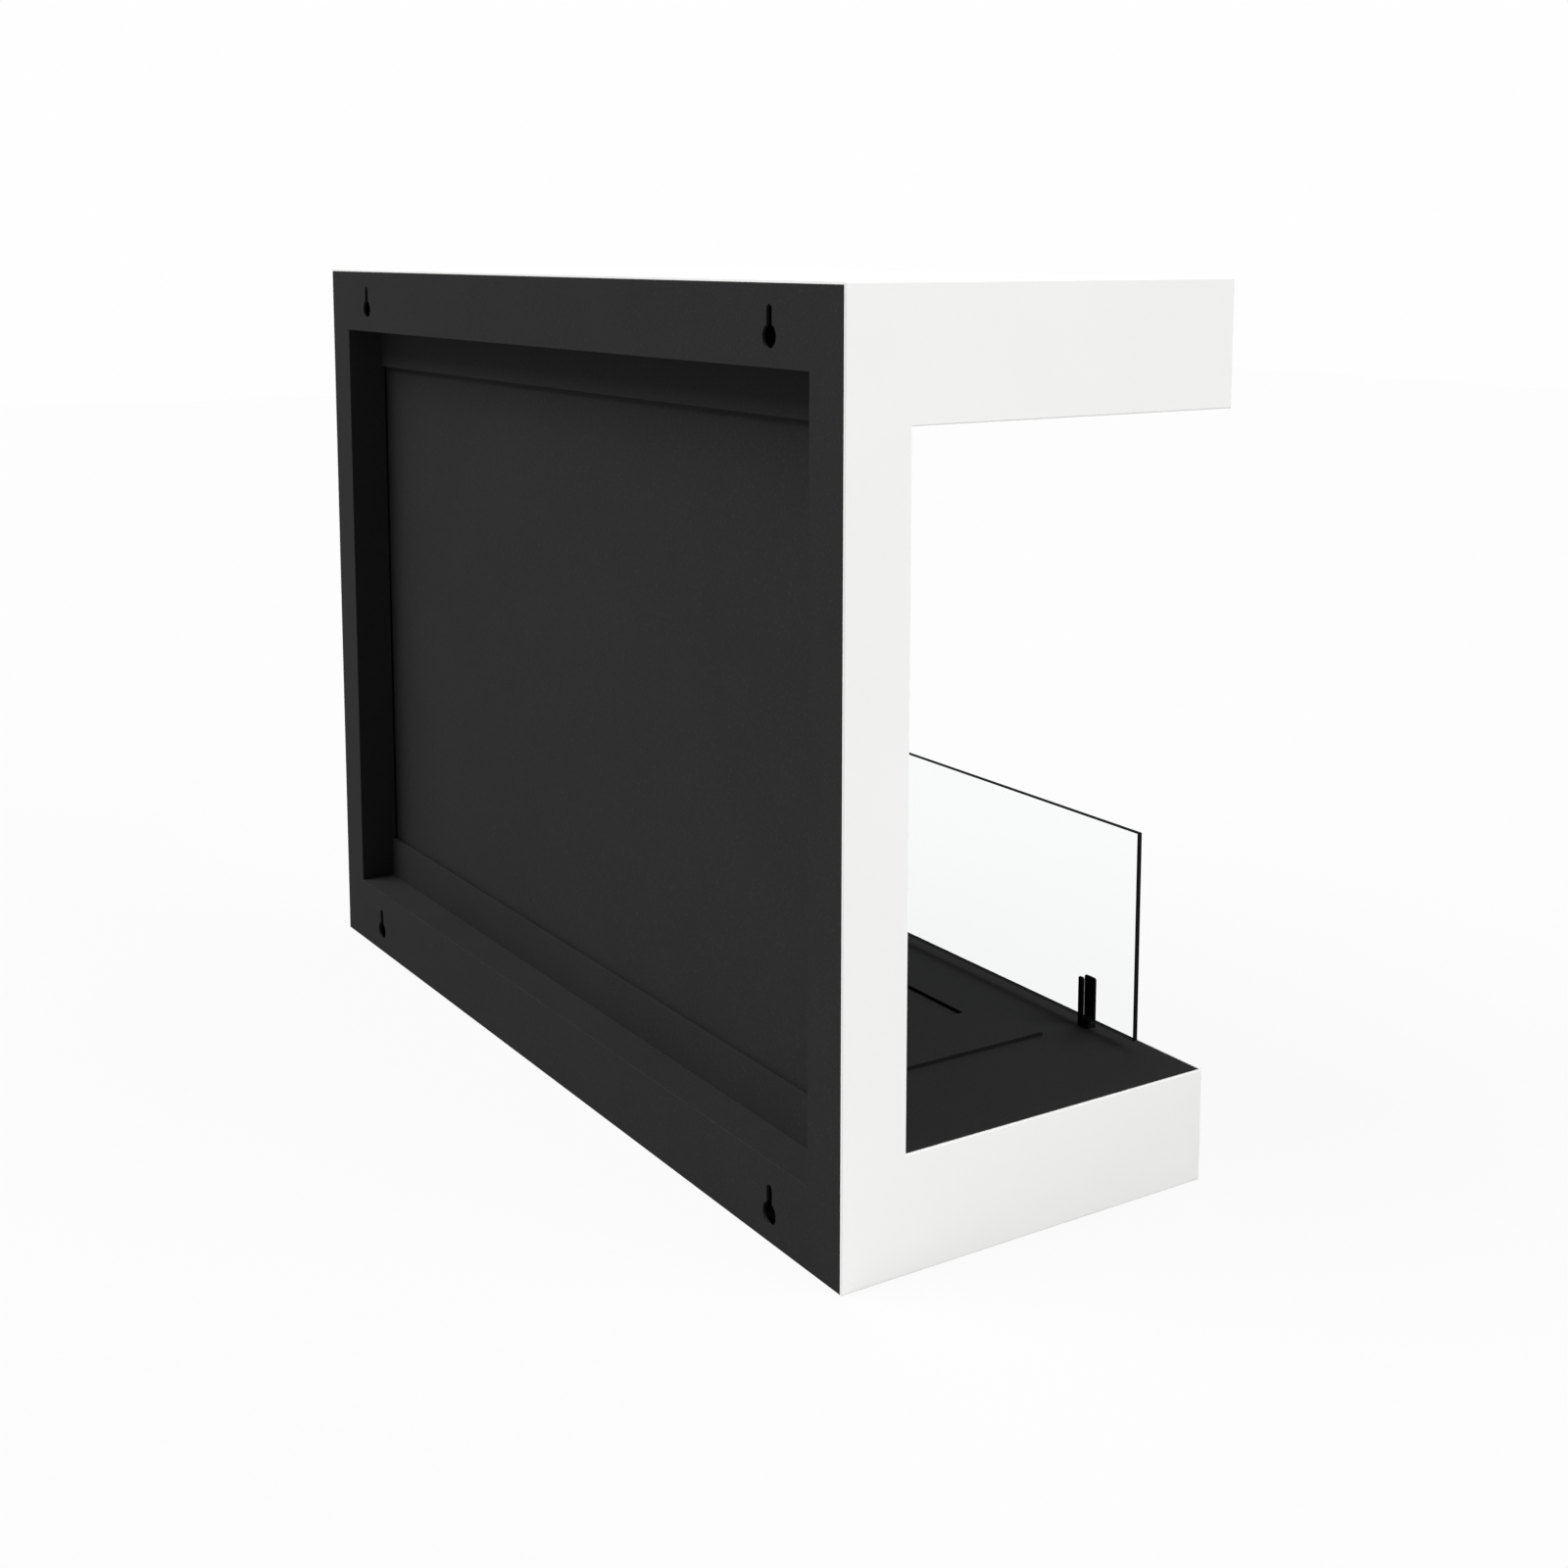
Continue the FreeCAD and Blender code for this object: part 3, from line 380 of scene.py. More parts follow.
def ceramic_fibre(finish):
    """Ceramic wool: loose white fibres in all directions, with a soft nap."""
    made, tree, place = begin("ceramic fibre")
    fibre, run = 0.9 * MM, 9 * MM
    along = stretched(tree, place, (run, fibre, fibre))
    across = stretched(tree, place, (fibre, run, fibre))
    first, second = [add(tree, "ShaderNodeTexNoise", {
        "Vector": direction, "Scale": 1.0, "Detail": 3.0, "Distortion": 2.0})
        for direction in (along, across)]
    fibres = add(tree, "ShaderNodeMath", {
        0: first.outputs["Fac"], 1: second.outputs["Fac"]}, operation="MAXIMUM")
    tone = add(tree, "ShaderNodeMapRange", {
        "Value": fibres.outputs["Value"], "From Min": 0.4, "From Max": 0.75})
    colours = add(tree, "ShaderNodeMix", {
        0: tone.outputs["Result"], 6: paint(finish.wool, 0.72), 7: paint(finish.wool, 1.05)},
        data_type="RGBA")
    bump = add(tree, "ShaderNodeBump", {
        "Strength": 0.8, "Distance": 0.6 * MM, "Height": fibres.outputs["Value"]})
    shader = add(tree, "ShaderNodeBsdfPrincipled", {
        "Base Color": colours.outputs[2], "Roughness": 1.0, "Sheen Weight": 0.3,
        "Normal": bump.outputs["Normal"]})
    return end(made, shader.outputs["BSDF"])


def woven_glass_tape(finish):
    """Black glass-fibre tape in plain weave: warp and weft take turns on top."""
    made, tree, place = begin("woven glass-fibre tape")
    cell = stretched(tree, place, (finish.thread, finish.thread, finish.thread))
    turn = add(tree, "ShaderNodeTexChecker", {"Vector": cell, "Scale": 1.0})
    warp = add(tree, "ShaderNodeTexWave", {
        "Vector": cell, "Scale": math.pi / 10, "Distortion": 0.4}, bands_direction="X")
    weft = add(tree, "ShaderNodeTexWave", {
        "Vector": cell, "Scale": math.pi / 10, "Distortion": 0.4}, bands_direction="Z")
    weave = add(tree, "ShaderNodeMix", {
        0: turn.outputs["Fac"], 2: warp.outputs["Fac"], 3: weft.outputs["Fac"]}, data_type="FLOAT")
    colours = add(tree, "ShaderNodeMix", {
        0: weave.outputs[0], 6: paint(finish.tape, 0.4), 7: paint(finish.tape, 1.5)},
        data_type="RGBA")
    bump = add(tree, "ShaderNodeBump", {
        "Strength": 0.8, "Distance": 0.3 * MM, "Height": weave.outputs[0]})
    shader = add(tree, "ShaderNodeBsdfPrincipled", {
        "Base Color": colours.outputs[2], "Roughness": 0.7, "Normal": bump.outputs["Normal"]})
    return end(made, shader.outputs["BSDF"])


def moulded_silicone(finish):
    """Moulded silicone: black rubber with a dusty bloom."""
    made, tree, place = begin("moulded silicone")
    bloom = add(tree, "ShaderNodeTexNoise", {
        "Vector": place, "Scale": 1 / (2.0 * MM), "Detail": 4.0})
    colours = add(tree, "ShaderNodeMix", {
        0: bloom.outputs["Fac"], 6: paint(finish.silicone, 0.8), 7: paint(finish.silicone, 1.8)},
        data_type="RGBA")
    rough = add(tree, "ShaderNodeMapRange", {
        "Value": bloom.outputs["Fac"], "To Min": 0.5, "To Max": 0.7})
    shader = add(tree, "ShaderNodeBsdfPrincipled", {
        "Base Color": colours.outputs[2], "Roughness": rough.outputs["Result"], "IOR": 1.41})
    return end(made, shader.outputs["BSDF"])


def clear_toughened_glass(finish):
    """Clear float glass, toughened: colourless faces with the faintest haze of handling.

    The pane is thin and flat, so light goes straight through it. Its faces mirror a
    little, and more at a slant.
    """
    made, tree, place = begin("clear toughened glass")
    haze = add(tree, "ShaderNodeTexNoise", {"Vector": place, "Scale": 30.0, "Detail": 4.0})
    rough = add(tree, "ShaderNodeMapRange", {
        "Value": haze.outputs["Fac"], "From Min": 0.5, "From Max": 0.8, "To Max": 0.06})
    slant = add(tree, "ShaderNodeLayerWeight", {"Blend": 0.5})
    steep = add(tree, "ShaderNodeMath", {0: slant.outputs["Facing"], 1: 5.0}, operation="POWER")
    mirror = add(tree, "ShaderNodeMapRange", {
        "Value": steep.outputs["Value"], "To Min": finish.mirror, "To Max": finish.slant_mirror})
    clear = add(tree, "ShaderNodeBsdfTransparent", {"Color": paint(finish.glass)})
    gloss = add(tree, "ShaderNodeBsdfGlossy", {"Roughness": rough.outputs["Result"]})
    shader = add(tree, "ShaderNodeMixShader", {
        0: mirror.outputs["Result"], 1: clear.outputs["BSDF"], 2: gloss.outputs["BSDF"]})
    return end(made, shader.outputs["Shader"])


def blackened_glass_edge(finish):
    """Ground glass edge, blackened: fine frosty grinding marks across it."""
    made, tree, place = begin("blackened glass edge")
    marks = add(tree, "ShaderNodeTexNoise", {
        "Vector": place, "Scale": 1 / (0.7 * MM), "Detail": 2.0})
    colours = add(tree, "ShaderNodeMix", {
        0: marks.outputs["Fac"], 6: paint(finish.glass_edge, 0.6), 7: paint(finish.glass_edge, 1.5)},
        data_type="RGBA")
    rough = add(tree, "ShaderNodeMapRange", {
        "Value": marks.outputs["Fac"], "To Min": 0.4, "To Max": 0.6})
    shader = add(tree, "ShaderNodeBsdfPrincipled", {
        "Base Color": colours.outputs[2], "Roughness": rough.outputs["Result"],
        "Specular IOR Level": 0.1})
    return end(made, shader.outputs["BSDF"])


def coat(material, *nodes):
    """Gives CAD nodes their finish."""
    for name in nodes:
        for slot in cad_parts[name].material_slots:
            slot.material = material


# -------------------------------------------------------------------- shapes
def edges_of(verts):
    """Every edge at some vertices, once each and in a fixed order."""
    return list(dict.fromkeys(edge for vert in verts for edge in vert.link_edges))


def ring(bm, radius, z):
    """Level round loop of edges about the Z axis."""
    verts = bmesh.ops.create_circle(bm, segments=ROUND, radius=radius)["verts"]
    bmesh.ops.translate(bm, verts=verts, vec=(0, 0, z))
    return edges_of(verts)


def hexagon(bm, across, z):
    """Level hexagonal loop with as many edges as a ring."""
    verts = bmesh.ops.create_circle(bm, segments=ROUND, radius=across / 2)["verts"]
    for vert in verts:
        turn = math.atan2(vert.co.y, vert.co.x) % math.radians(60) - math.radians(30)
        vert.co /= math.cos(turn)
    bmesh.ops.translate(bm, verts=verts, vec=(0, 0, z))
    return edges_of(verts)


def skin(bm, loops, closed=False):
    """Faces from each loop to the next. The ends are capped, unless the last meets the first."""
    for low, high in zip(loops, loops[1:] + loops[:1] if closed else loops[1:]):
        bmesh.ops.bridge_loops(bm, edges=low + high)
    if not closed:
        bmesh.ops.contextual_create(bm, geom=loops[0])
        bmesh.ops.contextual_create(bm, geom=loops[-1])


def thread(bm, hardware, radius, low, high):
    """Loops of a screw thread, drawn as rings, from one height to another."""
    turns = max(1, round((high - low) / hardware.pitch))
    rise = (high - low) / (2 * turns)
    return [ring(bm, radius - hardware.thread_depth * (k % 2 == 0), low + k * rise)
            for k in range(2 * turns + 1)]


def socket(bm, across, top, depth):
    """Loops of a hexagon socket sunk into a head."""
    return [hexagon(bm, across, top), hexagon(bm, across, top - depth)]


def button_screw(bm, hardware, radius, head_radius, head_height, reach):
    """Button head above Z 0 and a threaded shank below it."""
    rim = 0.2 * head_height
    face = 0.72 * hardware.button_socket
    loops = thread(bm, hardware, radius, -reach, 0) + [ring(bm, head_radius, 0)]
    for step in range(6):
        turn = math.radians(90 * step / 5)
        loops.append(ring(bm, face + (head_radius - face) * math.cos(turn),
                          rim + (head_height - rim) * math.sin(turn)))
    skin(bm, loops + socket(bm, hardware.button_socket, head_height, 0.55 * head_height))


def countersunk_screw(bm, hardware, radius, head_radius, head_height, reach):
    """Flat head that ends at Z 0 and a threaded shank below it."""
    rim = 0.1 * head_height
    loops = thread(bm, hardware, radius, -reach, -head_height)
    loops += [ring(bm, head_radius, -rim), ring(bm, head_radius - rim, 0),
              ring(bm, 0.7 * hardware.small_socket, 0)]
    skin(bm, loops + socket(bm, hardware.small_socket, 0, 0.65 * head_height))


def cylinder_screw(bm, hardware, radius, head_radius, head_height, reach):
    """Cylinder head above Z 0 and a threaded shank below it."""
    rim = 0.15 * head_height
    loops = thread(bm, hardware, radius, -reach, 0)
    loops += [ring(bm, head_radius, 0), ring(bm, head_radius, head_height - rim),
              ring(bm, head_radius - rim, head_height),
              ring(bm, 0.7 * hardware.small_socket, head_height)]
    skin(bm, loops + socket(bm, hardware.small_socket, head_height, 0.6 * head_height))


def hexagon_nut(bm, hardware, bore, across, height):
    """Nut on the Z axis with both faces chamfered."""
    chamfer = hardware.nut_chamfer
    face = across / 2
    mouth = bore + 0.5 * chamfer
    skin(bm, [ring(bm, bore, 0.5 * chamfer), ring(bm, mouth, 0), ring(bm, face, 0),
              hexagon(bm, across, chamfer), hexagon(bm, across, height - chamfer),
              ring(bm, face, height), ring(bm, mouth, height),
              ring(bm, bore, height - 0.5 * chamfer)], closed=True)


def domed_rivet(bm, hardware, radius, head_radius, head_height, reach):
    """Domed head above Z 0 and a plain shank below it."""
    rim = hardware.rivet_dome
    loops = [ring(bm, radius, -reach), ring(bm, radius, 0), ring(bm, head_radius, 0)]
    for step in range(6):
        turn = math.radians(75 * step / 5)
        loops.append(ring(bm, head_radius * math.cos(turn),
                          rim + (head_height - rim) * math.sin(turn)))
    skin(bm, loops)


def rivet_nut(bm, hardware, radius, height):
    """Threaded insert, set so that it bulges above the ledge that holds it."""
    bore, ledge = hardware.insert_bore, hardware.insert_ledge
    bulge, round_off, chamfer = 0.9 * MM, 0.1 * MM, 0.4 * MM
    wide, top = radius + bulge, ledge + 1.6 * MM      # radius and upper end of the bulge
    skin(bm, [ring(bm, bore, 0), ring(bm, radius, 0), ring(bm, radius, ledge),
              ring(bm, wide, ledge + round_off), ring(bm, wide, ledge + bulge),
              ring(bm, radius, top), ring(bm, radius, height - chamfer),
              ring(bm, radius - chamfer, height), ring(bm, bore, height)], closed=True)


def solids(node):
    """(lowest corner, highest corner) of each separate solid of a CAD node, in a fixed order."""
    bm = bmesh.new()
    bm.from_mesh(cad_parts[node].data)
    bmesh.ops.remove_doubles(bm, verts=bm.verts, dist=MERGE)
    boxes = []
    for start in bm.verts:
        if start.tag:
            continue
        start.tag = True
        found, corners = [start], []
        while found:
            vert = found.pop()
            corners.append(vert.co.copy())
            for edge in vert.link_edges:
                other = edge.other_vert(vert)
                if not other.tag:
                    other.tag = True
                    found.append(other)
        boxes.append((Vector(map(min, zip(*corners))), Vector(map(max, zip(*corners)))))
    bm.free()
    return sorted(boxes, key=lambda box: [round(part, 5) for part in box[0]])


def facing(point, direction):
    """Places a shape made on the Z axis at a point, with its Z along a direction."""
    turn = Vector(direction).to_track_quat("Z", "Y")
    return Matrix.Translation(point) @ turn.to_matrix().to_4x4()


def repeated(make, places):
    """A bmesh with one copy of a shape at each place."""
    one = bpy.data.meshes.new("one")
    bm = bmesh.new()
    make(bm)
    bm.to_mesh(one)
    bm.free()
    whole = bmesh.new()
    for place in places:
        copy = one.copy()
        copy.transform(place)
        whole.from_mesh(copy)
        bpy.data.meshes.remove(copy)
    bpy.data.meshes.remove(one)
    return whole


def show(name, bm, material, body, node):
    """Turns a bmesh into a finished piece that rides on a body and stands for a CAD node."""
    bmesh.ops.recalc_face_normals(bm, faces=bm.faces)
    for face in bm.faces:
        face.smooth = True
    for edge in bm.edges:
        edge.smooth = edge.calc_face_angle(0.0) < SHARP
    mesh = bpy.data.meshes.new(name)
    bm.to_mesh(mesh)
    bm.free()
    mesh.materials.append(material)
    piece = bpy.data.objects.new(name, mesh)
    bpy.context.scene.collection.objects.link(piece)
    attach(piece, body)
    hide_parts(node)
    return piece


def fit_box(bm, low, high):
    """A box between two corners."""
    verts = bmesh.ops.create_cube(bm, size=1.0)["verts"]
    bmesh.ops.scale(bm, verts=verts, vec=high - low)
    bmesh.ops.translate(bm, verts=verts, vec=(low + high) / 2)


def middle(box):
    """Centre of a box."""
    return (box[0] + box[1]) / 2


# ----------------------------------------------------------------- operators
class Piece:
    """What every operator here shares."""
    bl_options = {"REGISTER", "UNDO"}

    def execute(self, context):
        self.build(context.scene)
        return {"FINISHED"}


class FIREPLACE_OT_white_casing(Piece, bpy.types.Operator):
    """Coat the cheeks, hood, base and bottom pan white"""
    bl_idname = "fireplace.white_casing"
    bl_label = "White casing"

    def build(self, scene):
        coat(satin_white_powder_coat(scene.fireplace_finish), "right_cheek", "left_cheek",
             "hood_top", "hood_fascia", "base_fascia", "base_bottom_pan")


class FIREPLACE_OT_black_sheets(Piece, bpy.types.Operator):
    """Coat the wall frame, rear panels, lining, ceiling, deck and burner black"""
    bl_idname = "fireplace.black_sheets"
    bl_label = "Black sheets"

    def build(self, scene):
        finish = scene.fireplace_finish
        coat(textured_black_powder_coat(finish), "wall_frame",
             "hood_rear_panel", "base_rear_panel", "firebox_rear_panel", "firebox_back_lining",
             "hood_ceiling", "base_deck", "burner_lid")
        # Painted shade: the burner's upright faces, its cut edges among them, are drawn darker than
        # its level faces.
        coat(textured_black_powder_coat(finish, "black powder coat with painted edge shade",
                                        finish.painted_edge_shade),
             "burner_top_plate", "burner_housing")


class FIREPLACE_OT_glass_holders(Piece, bpy.types.Operator):
    """Lacquer the glass holders and finish their silicone pads"""
    bl_idname = "fireplace.glass_holders"
    bl_label = "Glass holders"

    def build(self, scene):
        finish = scene.fireplace_finish
        coat(smooth_black_lacquer(finish), "right_glass_holder", "left_glass_holder")
        coat(moulded_silicone(finish), "holder_pads")


class FIREPLACE_OT_inner_metal(Piece, bpy.types.Operator):
    """Finish the plated supports, the stainless tank and the heat shield"""
    bl_idname = "fireplace.inner_metal"
    bl_label = "Inner metal"

    def build(self, scene):
        finish = scene.fireplace_finish
        coat(spangled_zinc(finish), "hood_crossmember_right", "hood_crossmember_left",
             "deck_beam_right", "deck_beam_left", "safety_tray", "tray_stands")
        coat(brushed_stainless(finish), "fuel_tank", "tank_feet", "lid_ledge")
        coat(mill_aluminium(finish), "hood_heat_shield")


class FIREPLACE_OT_insulation(Piece, bpy.types.Operator):
    """Finish the fibre board behind the firebox lining"""
    bl_idname = "fireplace.insulation"
    bl_label = "Insulation board"

    def build(self, scene):
        coat(pressed_fibre_board(scene.fireplace_finish), "insulation_board")


class FIREPLACE_OT_glass_pane(Piece, bpy.types.Operator):
    """Model the clear pane with its blackened edges"""
    bl_idname = "fireplace.glass_pane"
    bl_label = "Glass pane"

    def build(self, scene):
        finish = scene.fireplace_finish
        bm = bmesh.new()
        fit_box(bm, *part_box("glass_pane"))
        bmesh.ops.bevel(bm, geom=bm.edges, affect="EDGES", offset=scene.fireplace_hardware.arris,
                        segments=1, profile=0.5, material=-1)
        bmesh.ops.recalc_face_normals(bm, faces=bm.faces)
        # The two large faces are clear. All edges and arrises are blackened.
        for face in bm.faces:
            face.material_index = int(abs(face.normal.y) < 0.99)
        pane = show("clear_glass_screen", bm, clear_toughened_glass(finish),
                    "glass_screen", "glass_pane")
        pane.data.materials.append(blackened_glass_edge(finish))


class FIREPLACE_OT_screws(Piece, bpy.types.Operator):
    """Model the screws of the ceiling, heat shield, bottom pan and glass holders"""
    bl_idname = "fireplace.screws"
    bl_label = "Screws"

    def build(self, scene):
        finish, hardware = scene.fireplace_finish, scene.fireplace_hardware
        oxide, zinc = black_oxide(finish), bpy.data.materials["spangled zinc plate"]
        steel = bpy.data.materials["brushed stainless"]
        m4 = hardware.button_height, hardware.button_shank
        m3 = hardware.small_height, hardware.small_shank
        for name, node, make, down, (head, shank), material, slot in (
                ("ceiling_button_screws", "ceiling_screws", button_screw, True, m4,
                 oxide, "black_fasteners"),
                ("shield_button_screws", "shield_screws", button_screw, False, m4,
                 zinc, "zinc_plated_steel"),
                ("holder_cylinder_screws", "holder_screws", cylinder_screw, True, m3,
                 zinc, "zinc_plated_steel"),
                ("pan_countersunk_screws", "pan_screws", countersunk_screw, True, m3,
                 steel, "stainless_steel")):
            boxes = solids(node)
            size = boxes[0][1] - boxes[0][0]
            raised = 0 if make is countersunk_screw else head
            places = []
            for box in boxes:
                centre = middle(box)
                z = box[0].z + raised if down else box[1].z - raised
                places.append(facing((centre.x, centre.y, z), (0, 0, -1 if down else 1)))
            bm = repeated(lambda one: make(one, hardware, shank, size.x / 2, head,
                                           size.z - raised), places)
            show(name, bm, material, "casing", node)


class FIREPLACE_OT_nuts(Piece, bpy.types.Operator):
    """Model the nuts of the wall frame, deck and lining, and the pan's rivet nuts"""
    bl_idname = "fireplace.nuts"
    bl_label = "Nuts"

    def build(self, scene):
        hardware = scene.fireplace_hardware
        zinc = bpy.data.materials["spangled zinc plate"]
        oxide = bpy.data.materials["black oxide"]
        for name, node, axis, material, slot in (
                ("frame_hexagon_nuts", "frame_nuts", 0, zinc, "zinc_plated_steel"),
                ("deck_hexagon_nuts", "deck_nuts", 2, zinc, "zinc_plated_steel"),
                ("lining_hexagon_nuts", "lining_nuts", 1, oxide, "black_fasteners")):
            boxes = solids(node)
            size = boxes[0][1] - boxes[0][0]
            direction = Vector([float(k == axis) for k in range(3)])
            across = min(size[k] for k in range(3) if k != axis)
            places = [facing(middle(box) - direction * size[axis] / 2, direction) for box in boxes]
            bm = repeated(lambda one: hexagon_nut(one, hardware, hardware.nut_bore, across,
                                                  size[axis]), places)
            show(name, bm, material, "casing", node)
        boxes = solids("pan_rivet_nuts")
        size = boxes[0][1] - boxes[0][0]
        places = [Matrix.Translation((middle(box).x, middle(box).y, box[0].z)) for box in boxes]
        bm = repeated(lambda one: rivet_nut(one, hardware, size.x / 2, size.z), places)
        show("pan_threaded_inserts", bm, zinc, "casing", "pan_rivet_nuts")


class FIREPLACE_OT_lid_handle(Piece, bpy.types.Operator):
    """Model the lid's bent handle and its rivets"""
    bl_idname = "fireplace.lid_handle"
    bl_label = "Lid handle"

    def build(self, scene):
        hardware = scene.fireplace_hardware
        low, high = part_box("lid_handle")
        half = hardware.strip / 2
        post = high.x - hardware.foot - half
        bm = bmesh.new()
        outline = [(low.x, low.z + half), (-post, low.z + half), (-post, high.z - half),
                   (post, high.z - half), (post, low.z + half), (high.x, low.z + half)]
        verts = [bm.verts.new((x, low.y, z)) for x, z in outline]
        edges = [bm.edges.new(pair) for pair in zip(verts, verts[1:])]
        grown = bmesh.ops.extrude_edge_only(bm, edges=edges)["geom"]
        far = [part for part in grown if isinstance(part, bmesh.types.BMVert)]
        bmesh.ops.translate(bm, verts=far, vec=(0, high.y - low.y, 0))
        folds = [edge for edge in bm.edges if len(edge.link_faces) == 2]
        bmesh.ops.bevel(bm, geom=folds, affect="EDGES", offset=hardware.bend, segments=6,
                        profile=0.5, material=-1)
        corners = [vert for vert in bm.verts if abs(abs(vert.co.x) - high.x) < MERGE]
        bmesh.ops.bevel(bm, geom=corners, affect="VERTICES", offset=hardware.strip_corner,
                        segments=4, profile=0.5, material=-1)
        handle = show("bent_lid_handle", bm, bpy.data.materials["textured black powder coat"],
                      "snuffer_lid", "lid_handle")
        wall = handle.modifiers.new("Sheet", "SOLIDIFY")
        wall.thickness = hardware.strip
        wall.offset = 0.0
        edge = handle.modifiers.new("Edge", "BEVEL")
        edge.width = hardware.strip_edge
        edge.segments = 2
        edge.limit_method = "ANGLE"
        boxes = solids("handle_rivets")
        size = boxes[0][1] - boxes[0][0]
        head = hardware.rivet_head
        places = [Matrix.Translation((middle(box).x, middle(box).y, box[1].z - head))
                  for box in boxes]
        bm = repeated(lambda one: domed_rivet(one, hardware, hardware.rivet_shank, size.x / 2,
                                              head, size.z - head), places)
        show("domed_handle_rivets", bm, bpy.data.materials["black oxide"],
             "snuffer_lid", "handle_rivets")


class FIREPLACE_OT_ceramic_wool(Piece, bpy.types.Operator):
    """Model the fibre pad in the fuel tank"""
    bl_idname = "fireplace.ceramic_wool"
    bl_label = "Ceramic wool"

    def build(self, scene):
        soft = scene.fireplace_soft
        bm = bmesh.new()
        fit_box(bm, *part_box("ceramic_wool"))
        bmesh.ops.bevel(bm, geom=bm.edges, affect="EDGES", offset=soft.wool_round, segments=3,
                        profile=0.5, material=-1)
        pad = show("ceramic_wool_pad", bm, ceramic_fibre(scene.fireplace_finish),
                   "burner_insert", "ceramic_wool")
        cells = pad.modifiers.new("Cells", "REMESH")
        cells.mode = "VOXEL"
        cells.voxel_size = soft.wool_cell
        cells.use_smooth_shade = True
        graph = bpy.context.evaluated_depsgraph_get()
        shape = bpy.data.meshes.new_from_object(pad.evaluated_get(graph))
        pad.modifiers.clear()
        small, weight = 0.3 * soft.wool_wave, 0.4         # of the finer unevenness
        for vert in shape.vertices:
            wave = noise.noise(vert.co / soft.wool_wave)
            wave += weight * noise.noise(vert.co / small)
            vert.co -= vert.normal * soft.wool_lump * 0.5 * (1 + wave)
        old, pad.data = pad.data, shape
        bpy.data.meshes.remove(old)
        shape.name = pad.name


class FIREPLACE_OT_seal_tape(Piece, bpy.types.Operator):
    """Model the woven tape between the rear panel and the deck"""
    bl_idname = "fireplace.seal_tape"
    bl_label = "Seal tape"

    def build(self, scene):
        soft = scene.fireplace_soft
        low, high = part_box("panel_seal")
        bm = bmesh.new()
        fit_box(bm, low, high)
        long_edges = [edge for edge in bm.edges
                      if abs(edge.verts[0].co.x - edge.verts[1].co.x) > MERGE]
        bmesh.ops.bevel(bm, geom=long_edges, affect="EDGES", offset=soft.tape_round, segments=3,
                        profile=0.5, material=-1)
        long_edges = [edge for edge in bm.edges
                      if abs(edge.verts[0].co.x - edge.verts[1].co.x) > MERGE]
        steps = 120               # along the tape
        bmesh.ops.subdivide_edges(bm, edges=long_edges, cuts=steps - 1, use_grid_fill=True)
        centre = (low + high) / 2
        for vert in bm.verts:
            wave = noise.noise(Vector((vert.co.x / soft.tape_wave, 0, 0)))
            swell = 1 - soft.tape_swell + soft.tape_swell * wave
            vert.co.y = centre.y + (vert.co.y - centre.y) * swell
            vert.co.z = centre.z + (vert.co.z - centre.z) * swell
        show("woven_seal_tape", bm, woven_glass_tape(scene.fireplace_finish),
             "casing", "panel_seal")


